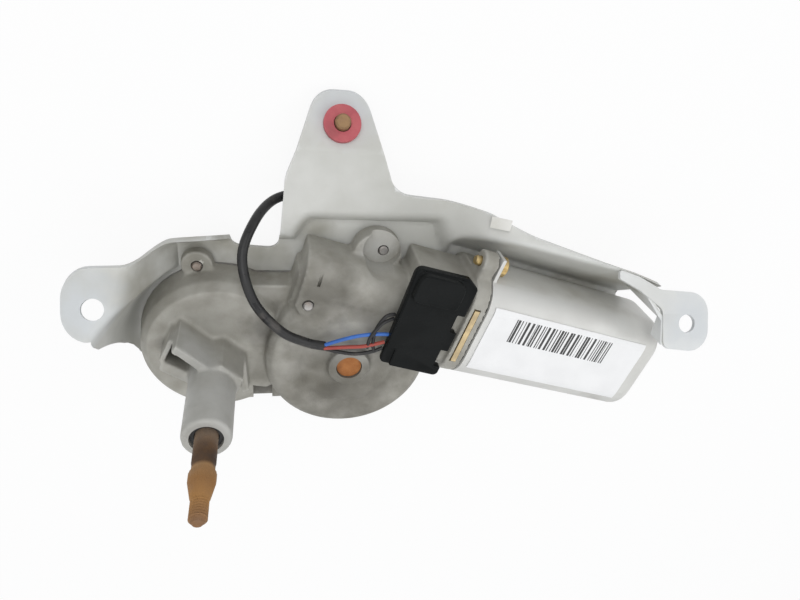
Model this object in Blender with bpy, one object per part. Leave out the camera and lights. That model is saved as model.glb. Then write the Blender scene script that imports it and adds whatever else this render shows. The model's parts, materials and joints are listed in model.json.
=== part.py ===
"""Rear wiper motor assembly: motor, worm gearbox, crank linkage, spindle tower and stamped bracket.

Metres, +Z up along the spindle. The part lies on its back: +X runs from the left lug to the right
lug and +Y points to the top lug. All driving sizes are below, in millimetres times MM.
"""
import math

import bmesh
import bpy
import numpy as np
from mathutils import Matrix, Vector

MM = 0.001
GAP = 0.3 * MM

# Bracket: a sheet that lies in the lug plane and is pressed down for the motor and the gearbox
SHEET = 1.6 * MM
LUG_TILT = math.radians(30)
LUG_LEVEL = 48.8 * MM
WEB_TOP = 58.7 * MM
WEB_DROP = 0.6
TROUGH_FLOOR = 1.6 * MM
TROUGH_WALL = 1.6
DECK_LEVEL = 9.0 * MM
DECK_WALL = 2.2
WELL_R = 34.0 * MM
WELL_WALL = 4.0
BEND = 4.0 * MM
CELL = 4.6 * MM
LUG_HOLE_R = 3.8 * MM
LEFT_HOLE = (-115.3 * MM, 8.7 * MM)
RIGHT_HOLE = (115.3 * MM, 2.9 * MM)
TOP_HOLE = (-30.3 * MM, 67.3 * MM)

# Motor: its axis runs down to the right through the origin
MOTOR_TURN = math.radians(-15)
MOTOR_Z = 22.0 * MM
FLANGE_S = 26.0 * MM
CAN_END_S = 114.0 * MM
CAN_W = 46.0 * MM
CAN_T = 38.0 * MM
CAN_CORNER = 12.0 * MM
CAN_WALL = 1.5 * MM
EAR_OUT = 4.8 * MM
MAGNET_GAP = 1.2 * MM
MAGNET_T = 5.1 * MM
AIR_GAP = 0.8 * MM
SHAFT_R = 3.0 * MM

# Worm drive
TEETH = 40
WHEEL_PITCH_R = 25.7 * MM
WORM_PITCH_R = 4.3 * MM
WHEEL_T = 8.0 * MM
WORM_S = -17.0 * MM
WORM_LEN = 22.0 * MM

# Crank linkage and spindle
SPINDLE_XY = (-77.5 * MM, -25.5 * MM)
CASE_XY = (-76.0 * MM, -22.0 * MM)
CASE_R = 31.5 * MM
CASE_TOP = 26.0 * MM
CRANK_R = 9.0 * MM
LEVER_R = 11.5 * MM
SPINDLE_R = 4.0 * MM
TOWER_R = 8.7 * MM
TOWER_TOP = 73.0 * MM
SPINDLE_TIP = 108.0 * MM
RIB_TOP = 45.0 * MM

# Gear housing levels
COVER_Z = DECK_LEVEL + GAP
COVER_T = 1.2 * MM
HOUSING_Z = COVER_Z + COVER_T + GAP
FACE_Z = 32.0 * MM
CAVITY_TOP = 28.5 * MM
WHEEL_CAVITY_R = 28.0 * MM
LEVER_CAVITY_R = 25.0 * MM

for old in list(bpy.data.objects):
    bpy.data.objects.remove(old, do_unlink=True)

# Derived places
axis_s = Vector((math.cos(MOTOR_TURN), math.sin(MOTOR_TURN), 0))
axis_p = Vector((-math.sin(MOTOR_TURN), math.cos(MOTOR_TURN), 0))
MOTOR = Matrix.Translation((0, 0, MOTOR_Z)) @ Matrix.Rotation(MOTOR_TURN, 4, "Z")
CENTRES = WHEEL_PITCH_R + WORM_PITCH_R
wheel_at = axis_s * WORM_S - axis_p * CENTRES
spindle_at = Vector((*SPINDLE_XY, 0))
PITCH = 2 * math.pi * WHEEL_PITCH_R / TEETH
LUG_NORMAL = Vector((0, math.sin(LUG_TILT), math.cos(LUG_TILT)))
ground = (wheel_at - spindle_at).length
ROD = math.sqrt(CRANK_R ** 2 + ground ** 2 - LEVER_R ** 2)
reach = ROD + CRANK_R
to_wheel = math.atan2(*(wheel_at - spindle_at).yx)
park = math.acos((ground ** 2 + LEVER_R ** 2 - reach ** 2) / (2 * ground * LEVER_R))
lever_turn = to_wheel - park
lever_pin_at = spindle_at + Vector((math.cos(lever_turn), math.sin(lever_turn), 0)) * LEVER_R
toward_lever = (lever_pin_at - wheel_at).normalized()
crank_at = wheel_at + toward_lever * CRANK_R
rod_turn = math.atan2(toward_lever.y, toward_lever.x)


# Modelling helpers
def add(name, verts, faces, matrix=Matrix.Identity(4), hidden=False):
    mesh = bpy.data.meshes.new(name)
    mesh.from_pydata([tuple(v) for v in verts], [], faces)
    bm = bmesh.new()
    bm.from_mesh(mesh)
    bmesh.ops.remove_doubles(bm, verts=bm.verts, dist=1e-7)
    bmesh.ops.transform(bm, matrix=matrix, verts=bm.verts)
    bmesh.ops.recalc_face_normals(bm, faces=bm.faces)
    bm.to_mesh(mesh)
    bm.free()
    made = bpy.data.objects.new(name, mesh)
    bpy.context.collection.objects.link(made)
    if hidden:
        made.hide_render = True
        made.display_type = "WIRE"
    return made


def loft(name, rings, matrix=Matrix.Identity(4), hidden=False):
    """Skin through rings with the same number of points, closed at both ends."""
    n = len(rings[0])
    verts = [v for ring in rings for v in ring]
    faces = [tuple(range(n))[::-1], tuple((len(rings) - 1) * n + i for i in range(n))]
    for k in range(len(rings) - 1):
        for i in range(n):
            j = (i + 1) % n
            faces.append((k * n + i, k * n + j, (k + 1) * n + j, (k + 1) * n + i))
    return add(name, verts, faces, matrix, hidden)


def circle(r, z, n, centre=(0, 0), phase=0.0):
    turns = [2 * math.pi * i / n + phase for i in range(n)]
    return [(centre[0] + r * math.cos(t), centre[1] + r * math.sin(t), z) for t in turns]


def stack(name, steps, n=32, centre=(0, 0), matrix=Matrix.Identity(4), hidden=False):
    """Solid of revolution about Z from (radius, height) steps."""
    return loft(name, [circle(r, z, n, centre) for r, z in steps], matrix, hidden)


def tube(name, outer, inner, z0, z1, n=32, centre=(0, 0), matrix=Matrix.Identity(4)):
    rings = [circle(outer, z0, n, centre), circle(outer, z1, n, centre)]
    rings += [circle(inner, z1, n, centre), circle(inner, z0, n, centre)]
    verts = [v for ring in rings for v in ring]
    faces = []
    for k in range(4):
        for i in range(n):
            j = (i + 1) % n
            m = (k + 1) % 4
            faces.append((k * n + i, k * n + j, m * n + j, m * n + i))
    return add(name, verts, faces, matrix)


def prism(name, points, z0, z1, matrix=Matrix.Identity(4), hidden=False):
    return loft(name, [[(x, y, z) for x, y in points] for z in (z0, z1)], matrix, hidden)


def box(name, low, high, matrix=Matrix.Identity(4), hidden=False):
    corners = [(low[0], low[1]), (high[0], low[1]), (high[0], high[1]), (low[0], high[1])]
    return prism(name, corners, low[2], high[2], matrix, hidden)


def rounded(points, steps=5):
    """Outline with its corners rounded: each point is (x, y, radius)."""
    out = []
    n = len(points)
    for i, (x, y, r) in enumerate(points):
        here = Vector((x, y))
        back = (Vector(points[i - 1][:2]) - here).normalized()
        on = (Vector(points[(i + 1) % n][:2]) - here).normalized()
        half = back.angle(on) / 2
        if r <= 0:
            out.append((x, y))
            continue
        run = r / math.tan(half)
        middle = here + (back + on).normalized() * (r / math.sin(half))
        first = here + back * run - middle
        last = here + on * run - middle
        sweep = first.angle_signed(last)
        for k in range(steps + 1):
            spoke = first.copy()
            spoke.rotate(Matrix.Rotation(-sweep * k / steps, 2))
            out.append(tuple(middle + spoke))
    return out


def slab_section(w, t, r, steps=4):
    half_w, half_t = w / 2, t / 2
    corners = [(-half_w, -half_t, r), (half_w, -half_t, r), (half_w, half_t, r), (-half_w, half_t, r)]
    return rounded(corners, steps)


def join(target, tool, how):
    step = target.modifiers.new(how.title() + " " + tool.name, "BOOLEAN")
    step.operation = how
    step.solver = "EXACT"
    step.object = tool
    tool.hide_render = True
    tool.display_type = "WIRE"


def cut(target, tool):
    join(target, tool, "DIFFERENCE")


def fuse(target, tool):
    join(target, tool, "UNION")


def wire(name, path, r, n=8, smooth=6):
    """Round wire along a smooth curve through the points of a path."""
    pts = [Vector(p) for p in path]
    line = []
    for i in range(len(pts) - 1):
        a = pts[max(i - 1, 0)]
        b = pts[i]
        c = pts[i + 1]
        d = pts[min(i + 2, len(pts) - 1)]
        for k in range(smooth):
            t = k / smooth
            line.append(0.5 * (2 * b + (c - a) * t + (2 * a - 5 * b + 4 * c - d) * t * t
                               + (3 * b - a - 3 * c + d) * t ** 3))
    line.append(pts[-1])
    rings = []
    side = Vector((0, 0, 1))
    for i, p in enumerate(line):
        ahead = line[min(i + 1, len(line) - 1)] - line[max(i - 1, 0)]
        ahead.normalize()
        side = (side - ahead * side.dot(ahead)).normalized()
        other = ahead.cross(side)
        turns = [2 * math.pi * j / n for j in range(n)]
        rings.append([p + side * (r * math.cos(t)) + other * (r * math.sin(t)) for t in turns])
    return loft(name, rings)


# Along the motor: local X is the motor axis, local Y points up the page, local Z is +Z
ALONG_MOTOR = MOTOR @ Matrix.Rotation(math.radians(90), 4, "Y") @ Matrix.Rotation(math.radians(90), 4, "Z")


def on_motor(s, p, z):
    return MOTOR @ Vector((s, p, z))


def turned(name, steps, n=24, hidden=False):
    """Solid of revolution about the motor axis from (radius, place along the axis) steps."""
    return stack(name, steps, n, (0, 0), ALONG_MOTOR, hidden)


# Mounting bracket
def polygon_distance(x, y, corners):
    """Distance outside a polygon, zero inside it."""
    nearest = np.full(x.shape, 1e9)
    inside = np.zeros(x.shape, bool)
    for (ax, ay), (bx, by) in zip(corners, corners[1:] + corners[:1]):
        ex, ey = bx - ax, by - ay
        t = np.clip(((x - ax) * ex + (y - ay) * ey) / (ex * ex + ey * ey), 0, 1)
        nearest = np.minimum(nearest, np.hypot(x - ax - t * ex, y - ay - t * ey))
        if ay != by:
            crossing = (ay > y) != (by > y)
            inside ^= crossing & (x < ex * (y - ay) / ey + ax)
    return np.where(inside, 0, nearest)


def soft_min(a, b, r):
    h = np.clip(0.5 + 0.5 * (b - a) / r, 0, 1)
    return b + (a - b) * h - r * h * (1 - h)


def plan(s, p):
    return tuple((axis_s * s + axis_p * p).xy)


TROUGH_S = 17 * MM
TROUGH_P = CAN_W / 2 - 1.8 * MM
TROUGH = [plan(TROUGH_S, TROUGH_P), plan(150 * MM, TROUGH_P), plan(150 * MM, -120 * MM),
          plan(TROUGH_S, -120 * MM)]
DECK = [(-91 * MM, -70 * MM), (-91 * MM, 18 * MM), (-70 * MM, 20 * MM), (-46 * MM, 20 * MM),
        (-40 * MM, 29 * MM), (10 * MM, 29 * MM), (18 * MM, 10 * MM), (14 * MM, -80 * MM)]


def ease(t):
    t = np.clip(t, 0, 1)
    return t * t * (3 - 2 * t)


def sheet_height(x, y):
    level = LUG_LEVEL - math.tan(LUG_TILT) * y
    share = np.clip((45 * MM - x) / (35 * MM), 0, 1) * np.clip((x + 75 * MM) / (20 * MM), 0, 1)
    level = level - WEB_DROP * np.clip(WEB_TOP - y, 0, None) * ease(share)
    trough = TROUGH_FLOOR + TROUGH_WALL * polygon_distance(x, y, TROUGH)
    deck = DECK_LEVEL + DECK_WALL * polygon_distance(x, y, DECK)
    from_case = np.hypot(x - CASE_XY[0], y - CASE_XY[1])
    well = DECK_LEVEL + WELL_WALL * np.clip(from_case - WELL_R, 0, None)
    return soft_min(soft_min(level, trough, BEND), np.minimum(deck, well), BEND)


def pressed_sheet(name, x0, x1, y0, y1):
    xs = np.linspace(x0, x1, round((x1 - x0) / CELL) + 1)
    ys = np.linspace(y0, y1, round((y1 - y0) / CELL) + 1)
    gx, gy = np.meshgrid(xs, ys, indexing="ij")
    top = sheet_height(gx, gy)
    step = 0.1 * MM
    dx = (sheet_height(gx + step, gy) - top) / step
    dy = (sheet_height(gx, gy + step) - top) / step
    drop = SHEET * np.sqrt(1 + dx * dx + dy * dy)
    nx, ny = gx.shape
    verts = [(gx[i, j], gy[i, j], top[i, j]) for i in range(nx) for j in range(ny)]
    under = np.maximum(top - drop, 0)
    verts += [(gx[i, j], gy[i, j], under[i, j]) for i in range(nx) for j in range(ny)]
    low = nx * ny
    faces = []
    for i in range(nx - 1):
        for j in range(ny - 1):
            a, b, c, d = i * ny + j, (i + 1) * ny + j, (i + 1) * ny + j + 1, i * ny + j + 1
            faces.append((a, b, c))
            faces.append((a, c, d))
            faces.append((low + c, low + b, low + a))
            faces.append((low + d, low + c, low + a))
    rim = [i * ny for i in range(nx)] + [(nx - 1) * ny + j for j in range(1, ny)]
    rim += [i * ny + ny - 1 for i in range(nx - 2, -1, -1)] + [j for j in range(ny - 2, 0, -1)]
    for a, b in zip(rim, rim[1:] + rim[:1]):
        faces.append((b, a, low + a, low + b))
    return add(name, verts, faces)


OUTLINE = [(-125.2, -0.8, 9), (-125.2, 20.6, 9), (-101, 21.3, 6), (-88, 24, 4), (-77, 28.5, 4),
           (-69.5, 17, 5), (-52.5, 15.8, 4), (-50.6, 48, 12), (-39.6, 78, 9), (-21.8, 78, 9), (-8.2, 42.8, 10),
           (12, 41, 20), (30, 38.6, 20), (48, 32.3, 20), (93, 19.8, 6), (105.5, 13, 3), (105.5, -9.5, 2),
           (123.5, -14.5, 4), (107, -68, 6), (9.5, -43, 4), (-4, -50, 4), (-52, -50, 6), (-60, -57, 6),
           (-91, -52, 8), (-91, -12, 6), (-100, -6, 4), (-112, -1.5, 4)]
bracket = pressed_sheet("mounting_bracket", -132 * MM, 136 * MM, -84 * MM, 84 * MM)
outline = [(x * MM, y * MM, r * MM) for x, y, r in OUTLINE]
blank = prism("bracket_blank", rounded(outline), -20 * MM, 90 * MM, hidden=True)
join(bracket, blank, "INTERSECT")


def lug_point(x, y):
    return Vector((x, y, LUG_LEVEL - math.tan(LUG_TILT) * y))


def lug_frame(x, y):
    """Frame on the lug plane: local Z is the lug normal, local X is +X."""
    return Matrix.Translation(lug_point(x, y)) @ Matrix.Rotation(-LUG_TILT, 4, "X")


# Right lug: a plate in the lug plane that stands off the trough wall on a web
RIGHT_LUG = [(84, 22.3, 1), (84, 19, 1), (93, 15, 3), (104, 8, 4), (104, -6, 4), (125.5, -8, 9),
             (125.5, 13.9, 9), (103, 15.2, 5), (93, 19.8, 6)]
lug_outline = rounded([((x * MM - RIGHT_HOLE[0]), (y * MM - RIGHT_HOLE[1]) / math.cos(LUG_TILT), r * MM)
                       for x, y, r in RIGHT_LUG])
lug_plate = prism("right_lug_plate", lug_outline, -SHEET, 0, lug_frame(*RIGHT_HOLE), hidden=True)
fuse(bracket, lug_plate)
WEB_FOOT = [(94 * MM, 16 * MM), (103.2 * MM, 4 * MM), (103.2 * MM, -5 * MM)]
LIP_LOW = 43 * MM


def web(name, start, end, low_start, low_end):
    """Upright strip of sheet under the lug plane, along a line in plan."""
    run = (Vector(end) - Vector(start)).normalized()
    side = Vector((-run.y, run.x)) * SHEET
    plan_points = [Vector(start), Vector(end), Vector(end) + side, Vector(start) + side]
    lows = [low_start, low_end, low_end, low_start]
    low_ring = [(v.x, v.y, z) for v, z in zip(plan_points, lows)]
    high_ring = [(v.x, v.y, lug_point(v.x, v.y).z - 0.6 * MM) for v in plan_points]
    return loft(name, [low_ring, high_ring], hidden=True)


def sheet_under(x, y):
    return float(sheet_height(np.array(x), np.array(y))) - 1.2 * MM


web_lows = [sheet_under(*foot) for foot in WEB_FOOT[:2]]
fuse(bracket, web("right_lug_web", WEB_FOOT[0], WEB_FOOT[1], *web_lows))
lip_start = (WEB_FOOT[1][0] + 0.2 * MM, WEB_FOOT[1][1] + 0.7 * MM)
fuse(bracket, web("right_lug_lip", lip_start, WEB_FOOT[2], LIP_LOW - 0.3 * MM, LIP_LOW))
for label, spot in (("left", LEFT_HOLE), ("right", RIGHT_HOLE), ("top", TOP_HOLE)):
    cut(bracket, stack(label + "_lug_bore", [(LUG_HOLE_R, -9 * MM), (LUG_HOLE_R, 9 * MM)], 24,
                       matrix=lug_frame(*spot), hidden=True))

# Gear housing: wheel lobe, spindle dome, bridge, worm tunnel, brush box, flange, tower, ears
LOBE_R = 33.5 * MM
BELOW = HOUSING_Z - 2 * MM
housing = stack("gear_housing", [(LOBE_R + 1.6 * MM, BELOW), (LOBE_R, FACE_Z - 3 * MM),
                                 (LOBE_R - 3 * MM, FACE_Z)], 40, wheel_at.xy)
dome = stack("spindle_case", [(CASE_R + 0.3 * MM, BELOW - 0.3 * MM), (CASE_R - 1.5 * MM, CASE_TOP - 4 * MM),
                              (CASE_R - 4.5 * MM, CASE_TOP)], 40, CASE_XY, hidden=True)
fuse(housing, dome)
BRIDGE = [(-66 * MM, -50 * MM), (-36 * MM, -50 * MM), (-30 * MM, 6 * MM), (-72 * MM, 6 * MM)]
bridge = prism("housing_bridge", BRIDGE, BELOW - 0.6 * MM, 22 * MM, hidden=True)
fuse(housing, bridge)
TUNNEL_R = 12
TUNNEL_ARC = [math.radians(15 * k) for k in range(13)]
TUNNEL = [(-TUNNEL_R, -14), (TUNNEL_R, -14)]
TUNNEL += [(TUNNEL_R * math.cos(t), 11 * math.sin(t)) for t in TUNNEL_ARC]


def motor_bar(name, section, s0, s1):
    rings = [[(s, p * MM, z * MM) for p, z in section] for s in (s0, s1)]
    return loft(name, rings, MOTOR, hidden=True)


fuse(housing, motor_bar("worm_tunnel", TUNNEL, -46 * MM, 0))
BRUSH_BOX = [(-20, -14.4), (20, -14.4), (20, 12), (17, 15.5), (-17, 15.5), (-20, 12)]
fuse(housing, motor_bar("brush_box", BRUSH_BOX, -4 * MM, 22 * MM))
flange_ring = [(p / MM, z / MM) for p, z in slab_section(CAN_W + 1 * MM, CAN_T - 1 * MM, CAN_CORNER)]
fuse(housing, motor_bar("motor_flange", flange_ring, 19 * MM, FLANGE_S))
EAR_P = CAN_W / 2 + EAR_OUT
EARS = [(EAR_P, 7 * MM), (-EAR_P, -6 * MM)]
for k, (p, z) in enumerate(EARS):
    reach_in = -math.copysign(9 * MM, p)
    ear = box("flange_ear_%d" % (k + 1), (19.4 * MM, min(p, p + reach_in), z - 4.6 * MM),
              (FLANGE_S - 0.5 * MM, max(p, p + reach_in), z + 4.6 * MM), MOTOR, hidden=True)
    fuse(housing, ear)
    knob = stack("flange_knob_%d" % (k + 1), [(5 * MM, 19.2 * MM), (5 * MM, FLANGE_S - 0.3 * MM)], 20, (p, z),
                 MOTOR @ Matrix(((0, 0, 1, 0), (1, 0, 0, 0), (0, 1, 0, 0), (0, 0, 0, 1))), hidden=True)
    fuse(housing, knob)
tower = stack("spindle_tower", [(TOWER_R + 1 * MM, CASE_TOP - 3 * MM), (TOWER_R + 0.2 * MM, RIB_TOP + 3 * MM),
                                (TOWER_R, TOWER_TOP - 0.8 * MM), (TOWER_R - 0.8 * MM, TOWER_TOP)], 32, SPINDLE_XY,
              hidden=True)
fuse(housing, tower)
# Ribs at the tower's foot: a high one to the left and right, a low one beside it, and the walls that tie them
HIGH_RIB = [(-91.5, -8.8), (-89.2, -6.2), (-78.2, -16.2), (-73.7, -15.2), (-65.8, -22.2), (-68, -28), (-77.5, -30),
            (-83.5, -25), (-80.6, -18.8)]
LOW_RIB = [(-97.2, -22.3), (-96.2, -17.6), (-83, -26), (-84, -31)]
TIE_WALL = [(-97, -18), (-92.6, -8.4), (-90.8, -9.2), (-95.2, -19)]
SIDE_WALL = [(-68.2, -21.5), (-65.4, -21.8), (-64.2, -39), (-67.2, -40)]
for label, shape, sink, high in (("high_rib", HIGH_RIB, 4 * MM, RIB_TOP), ("low_rib", LOW_RIB, 4.6 * MM, 38 * MM),
                                 ("tie_wall", TIE_WALL, 4.3 * MM, 37.6 * MM), ("side_wall", SIDE_WALL, 4.9 * MM, 31 * MM)):
    fuse(housing, prism(label, [(x * MM, y * MM) for x, y in shape], CASE_TOP - sink, high, hidden=True))
boss = stack("wheel_boss", [(9.4 * MM, FACE_Z - 2 * MM), (8.6 * MM, 36 * MM)], 32, wheel_at.xy, hidden=True)
fuse(housing, boss)
SCREWS = [(-83.7 * MM, 10.4 * MM, 15.5 * MM), (-10.7 * MM, 18.6 * MM, 15.5 * MM),
          (-41.6 * MM, 3.2 * MM, FACE_Z + 1.6 * MM)]
EAR_TOP = 14.5 * MM
left_ear = stack("left_ear", [(6.6 * MM, BELOW - 0.9 * MM), (6 * MM, EAR_TOP)], 24, SCREWS[0][:2], hidden=True)
fuse(housing, left_ear)
HOOD_XY = (-13.5 * MM, 17.5 * MM)
hood = stack("hood_ear", [(10.5 * MM, BELOW - 1.2 * MM), (10 * MM, 18 * MM)], 28, HOOD_XY, hidden=True)
fuse(housing, hood)
post = stack("front_post", [(5 * MM, BELOW - 1.5 * MM), (5 * MM, FACE_Z + 0.3 * MM)], 20, SCREWS[2][:2],
             hidden=True)
fuse(housing, post)
cut(housing, box("housing_base", (-200 * MM, -200 * MM, -60 * MM), (18.9 * MM, 200 * MM, HOUSING_Z - MOTOR_Z),
                 MOTOR, hidden=True))
POCKET_XY = (-11.8 * MM, 20.8 * MM)
for label, r_low, r_high, low, high, n, spot in (
        ("hood_pocket", 7.8 * MM, 8.2 * MM, EAR_TOP, 30 * MM, 28, POCKET_XY),
        ("wheel_cavity", WHEEL_CAVITY_R, WHEEL_CAVITY_R, 0, CAVITY_TOP, 40, wheel_at.xy),
        ("lever_cavity", LEVER_CAVITY_R, LEVER_CAVITY_R, 0, 23 * MM, 40, SPINDLE_XY)):
    cut(housing, stack(label, [(r_low, low), (r_high, high)], n, spot, hidden=True))
cut(housing, box("rod_channel", (-64 * MM, -46.5 * MM, 0), (-38 * MM, -6 * MM, 18.5 * MM), hidden=True))
cut(housing, turned("worm_bore", [(6.4 * MM, -38 * MM), (6.4 * MM, 5 * MM)], hidden=True))
cut(housing, box("brush_chamber", (2.5 * MM, -17 * MM, -9 * MM), (40 * MM, 17 * MM, 12.5 * MM), MOTOR, hidden=True))
cut(housing, stack("spindle_bore", [(5.9 * MM, 20 * MM), (5.9 * MM, 90 * MM)], 32, SPINDLE_XY, hidden=True))
cut(housing, stack("wheel_shaft_bore", [(5.3 * MM, 26 * MM), (5.3 * MM, 40 * MM)], 28, wheel_at.xy, hidden=True))
HEAD_SEAT = DECK_LEVEL - SHEET - GAP
for k, (x, y, tip) in enumerate(SCREWS):
    number = "_%d" % (k + 1)
    cut(housing, stack("housing_screw_bore" + number, [(2.3 * MM, 0), (2.3 * MM, 40 * MM)], 16, (x, y), hidden=True))
    cut(bracket, stack("bracket_screw_bore" + number, [(2.4 * MM, 0), (2.4 * MM, 12 * MM)], 16, (x, y), hidden=True))
    stack("bracket_screw" + number, [(4 * MM, 3.4 * MM), (4.5 * MM, 4.2 * MM), (4.5 * MM, HEAD_SEAT), (2 * MM, HEAD_SEAT),
                                     (2 * MM, tip - 0.5 * MM), (1.5 * MM, tip)], 16, (x, y))

# Rear cover: a steel plate between the deck and the housing
cover = stack("rear_cover", [(LOBE_R + 1 * MM, COVER_Z), (LOBE_R + 1 * MM, COVER_Z + COVER_T)], 40, wheel_at.xy)
fuse(cover, stack("cover_case", [(CASE_R, COVER_Z), (CASE_R, COVER_Z + COVER_T)], 40, CASE_XY, hidden=True))
fuse(cover, prism("cover_bridge", BRIDGE, COVER_Z, COVER_Z + COVER_T, hidden=True))
for k, (x, y, tip) in enumerate(SCREWS):
    cut(cover, stack("cover_screw_bore_%d" % (k + 1), [(2.4 * MM, 0), (2.4 * MM, 12 * MM)], 16, (x, y), hidden=True))

# Worm wheel with slanted teeth; a gap between two teeth faces the worm at rest
WHEEL_LOW = MOTOR_Z - WHEEL_T / 2
TIP_R = WHEEL_PITCH_R + 0.8 * MM
ROOT_R = WHEEL_PITCH_R - 1.5 * MM
slant = PITCH / (2 * math.pi * WORM_PITCH_R) / WHEEL_PITCH_R
mesh_turn = MOTOR_TURN + math.pi / 2
tooth = [(ROOT_R, -0.40), (TIP_R, -0.16), (TIP_R, 0.16), (ROOT_R, 0.40)]
rings = []
for z in (-WHEEL_T / 2, 0, WHEEL_T / 2):
    ring = []
    for k in range(TEETH):
        for r, part in tooth:
            t = mesh_turn + (k + 0.5 + part * 0.86) * 2 * math.pi / TEETH + slant * z
            ring.append((r * math.cos(t), r * math.sin(t), MOTOR_Z + z))
    rings.append(ring)
wheel = loft("worm_wheel", rings, Matrix.Translation(wheel_at))
cut(wheel, stack("wheel_bore", [(4.0 * MM, 0), (4.0 * MM, 40 * MM)], 24, wheel_at.xy, hidden=True))
cut(wheel, stack("crank_bore", [(2.8 * MM, 0), (2.8 * MM, 40 * MM)], 16, crank_at.xy, hidden=True))
WHEEL_SHAFT_R = 3.7 * MM
stack("wheel_shaft", [(WHEEL_SHAFT_R, WHEEL_LOW - 1.2 * MM), (WHEEL_SHAFT_R, WHEEL_LOW + WHEEL_T + 1.2 * MM),
                      (5.0 * MM, WHEEL_LOW + WHEEL_T + 1.2 * MM), (5.0 * MM, 35 * MM)], 28, wheel_at.xy)
ROD_LOW = 13.6 * MM
ROD_T = 2.6 * MM
stack("crank_pin", [(4 * MM, 12.1 * MM), (4 * MM, 13.1 * MM), (2.5 * MM, 13.1 * MM), (2.5 * MM, 24 * MM)], 20,
      crank_at.xy)

# Connecting rod from the crank pin to the lever pin
rod_matrix = Matrix.Translation((crank_at.x, crank_at.y, 0)) @ Matrix.Rotation(rod_turn, 4, "Z")
arc = 10
rod_outline = []
for centre, start in ((0.0, math.pi / 2), (ROD, -math.pi / 2)):
    for k in range(arc + 1):
        t = start + math.pi * k / arc
        rod_outline.append((centre + 5 * MM * math.cos(t), 5 * MM * math.sin(t)))
rod = prism("connecting_rod", rod_outline, ROD_LOW, ROD_LOW + ROD_T, rod_matrix)
cut(rod, stack("rod_eye", [(2.8 * MM, 0), (2.8 * MM, 40 * MM)], 20, crank_at.xy, hidden=True))
cut(rod, stack("rod_far_eye", [(2.8 * MM, 0), (2.8 * MM, 40 * MM)], 20, lever_pin_at.xy, hidden=True))

# Output lever on the spindle, with its pin just clear of the rod
LEVER_LOW = 17.8 * MM
lever_matrix = Matrix.Translation((spindle_at.x, spindle_at.y, 0)) @ Matrix.Rotation(lever_turn, 4, "Z")
lever_outline = []
for centre, start, r in ((0.0, math.pi / 2, 7 * MM), (LEVER_R, -math.pi / 2, 5 * MM)):
    for k in range(arc + 1):
        t = start + math.pi * k / arc
        lever_outline.append((centre + r * math.cos(t), r * math.sin(t)))
lever = prism("output_lever", lever_outline, LEVER_LOW, LEVER_LOW + 3.2 * MM, lever_matrix)
lever_pin = stack("lever_pin", [(2.5 * MM, ROD_LOW + ROD_T + 0.5 * MM), (2.5 * MM, LEVER_LOW + 1 * MM)], 20,
                  lever_pin_at.xy, hidden=True)
fuse(lever, lever_pin)
cut(lever, stack("lever_bore", [(SPINDLE_R + GAP, 0), (SPINDLE_R + GAP, 40 * MM)], 28, SPINDLE_XY, hidden=True))
spindle = stack("spindle", [(SPINDLE_R, LEVER_LOW - GAP), (SPINDLE_R, 88 * MM), (SPINDLE_R + 0.5 * MM, 89 * MM),
                            (SPINDLE_R + 0.5 * MM, 92 * MM), (3.1 * MM, 99 * MM), (2.9 * MM, 100 * MM),
                            (2.9 * MM, SPINDLE_TIP - 1.6 * MM), (1.7 * MM, SPINDLE_TIP)], 28, SPINDLE_XY)
for label, low, high in (("lower", 30, 42), ("upper", 56, 66)):
    tube("spindle_bush_" + label, 5.6 * MM, SPINDLE_R + GAP, low * MM, high * MM, 24, SPINDLE_XY)
tube("spindle_seal", 5.6 * MM, SPINDLE_R + GAP, 68 * MM, 71.5 * MM, 24, SPINDLE_XY)
tube("spindle_washer", 6.6 * MM, SPINDLE_R + GAP, 21.3 * MM, 22.3 * MM, 24, SPINDLE_XY)

# Motor yoke with a rounded end
section = slab_section(CAN_W, CAN_T, CAN_CORNER)


def can(name, inset, s_steps, hidden=False):
    rings = []
    in_w, in_t = 1 - 2 * inset / CAN_W, 1 - 2 * inset / CAN_T
    for s, share in s_steps:
        rings.append([(s, p * share * in_w, z * share * in_t) for p, z in section])
    return loft(name, rings, MOTOR, hidden)


yoke = can("motor_yoke", 0, [(FLANGE_S + GAP, 1), (CAN_END_S - 6 * MM, 1), (CAN_END_S - 2 * MM, 0.93),
                             (CAN_END_S, 0.8)])
cup = turned("bearing_cup", [(8 * MM, CAN_END_S - 2 * MM), (7.5 * MM, CAN_END_S + 4 * MM)], hidden=True)
fuse(yoke, cup)
for k, (p, z) in enumerate(EARS):
    inner, outer = sorted((0, p + math.copysign(4.5 * MM, p)))
    lug = box("yoke_ear_%d" % (k + 1), (FLANGE_S + GAP + 0.1 * MM, inner, z - 4.5 * MM),
              (FLANGE_S + GAP + 1.5 * MM, outer, z + 4.5 * MM), MOTOR, hidden=True)
    fuse(yoke, lug)
cut(yoke, can("yoke_hollow", CAN_WALL, [(FLANGE_S - 4 * MM, 1), (CAN_END_S - 7 * MM, 1), (CAN_END_S - 3.5 * MM, 0.9)],
              True))
cut(yoke, turned("cup_hollow", [(6 * MM, CAN_END_S - 9 * MM), (6 * MM, CAN_END_S + 2.6 * MM)], hidden=True))
SIDEWAYS = MOTOR @ Matrix(((0, 0, 1, 0), (1, 0, 0, 0), (0, 1, 0, 0), (0, 0, 0, 1)))
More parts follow.
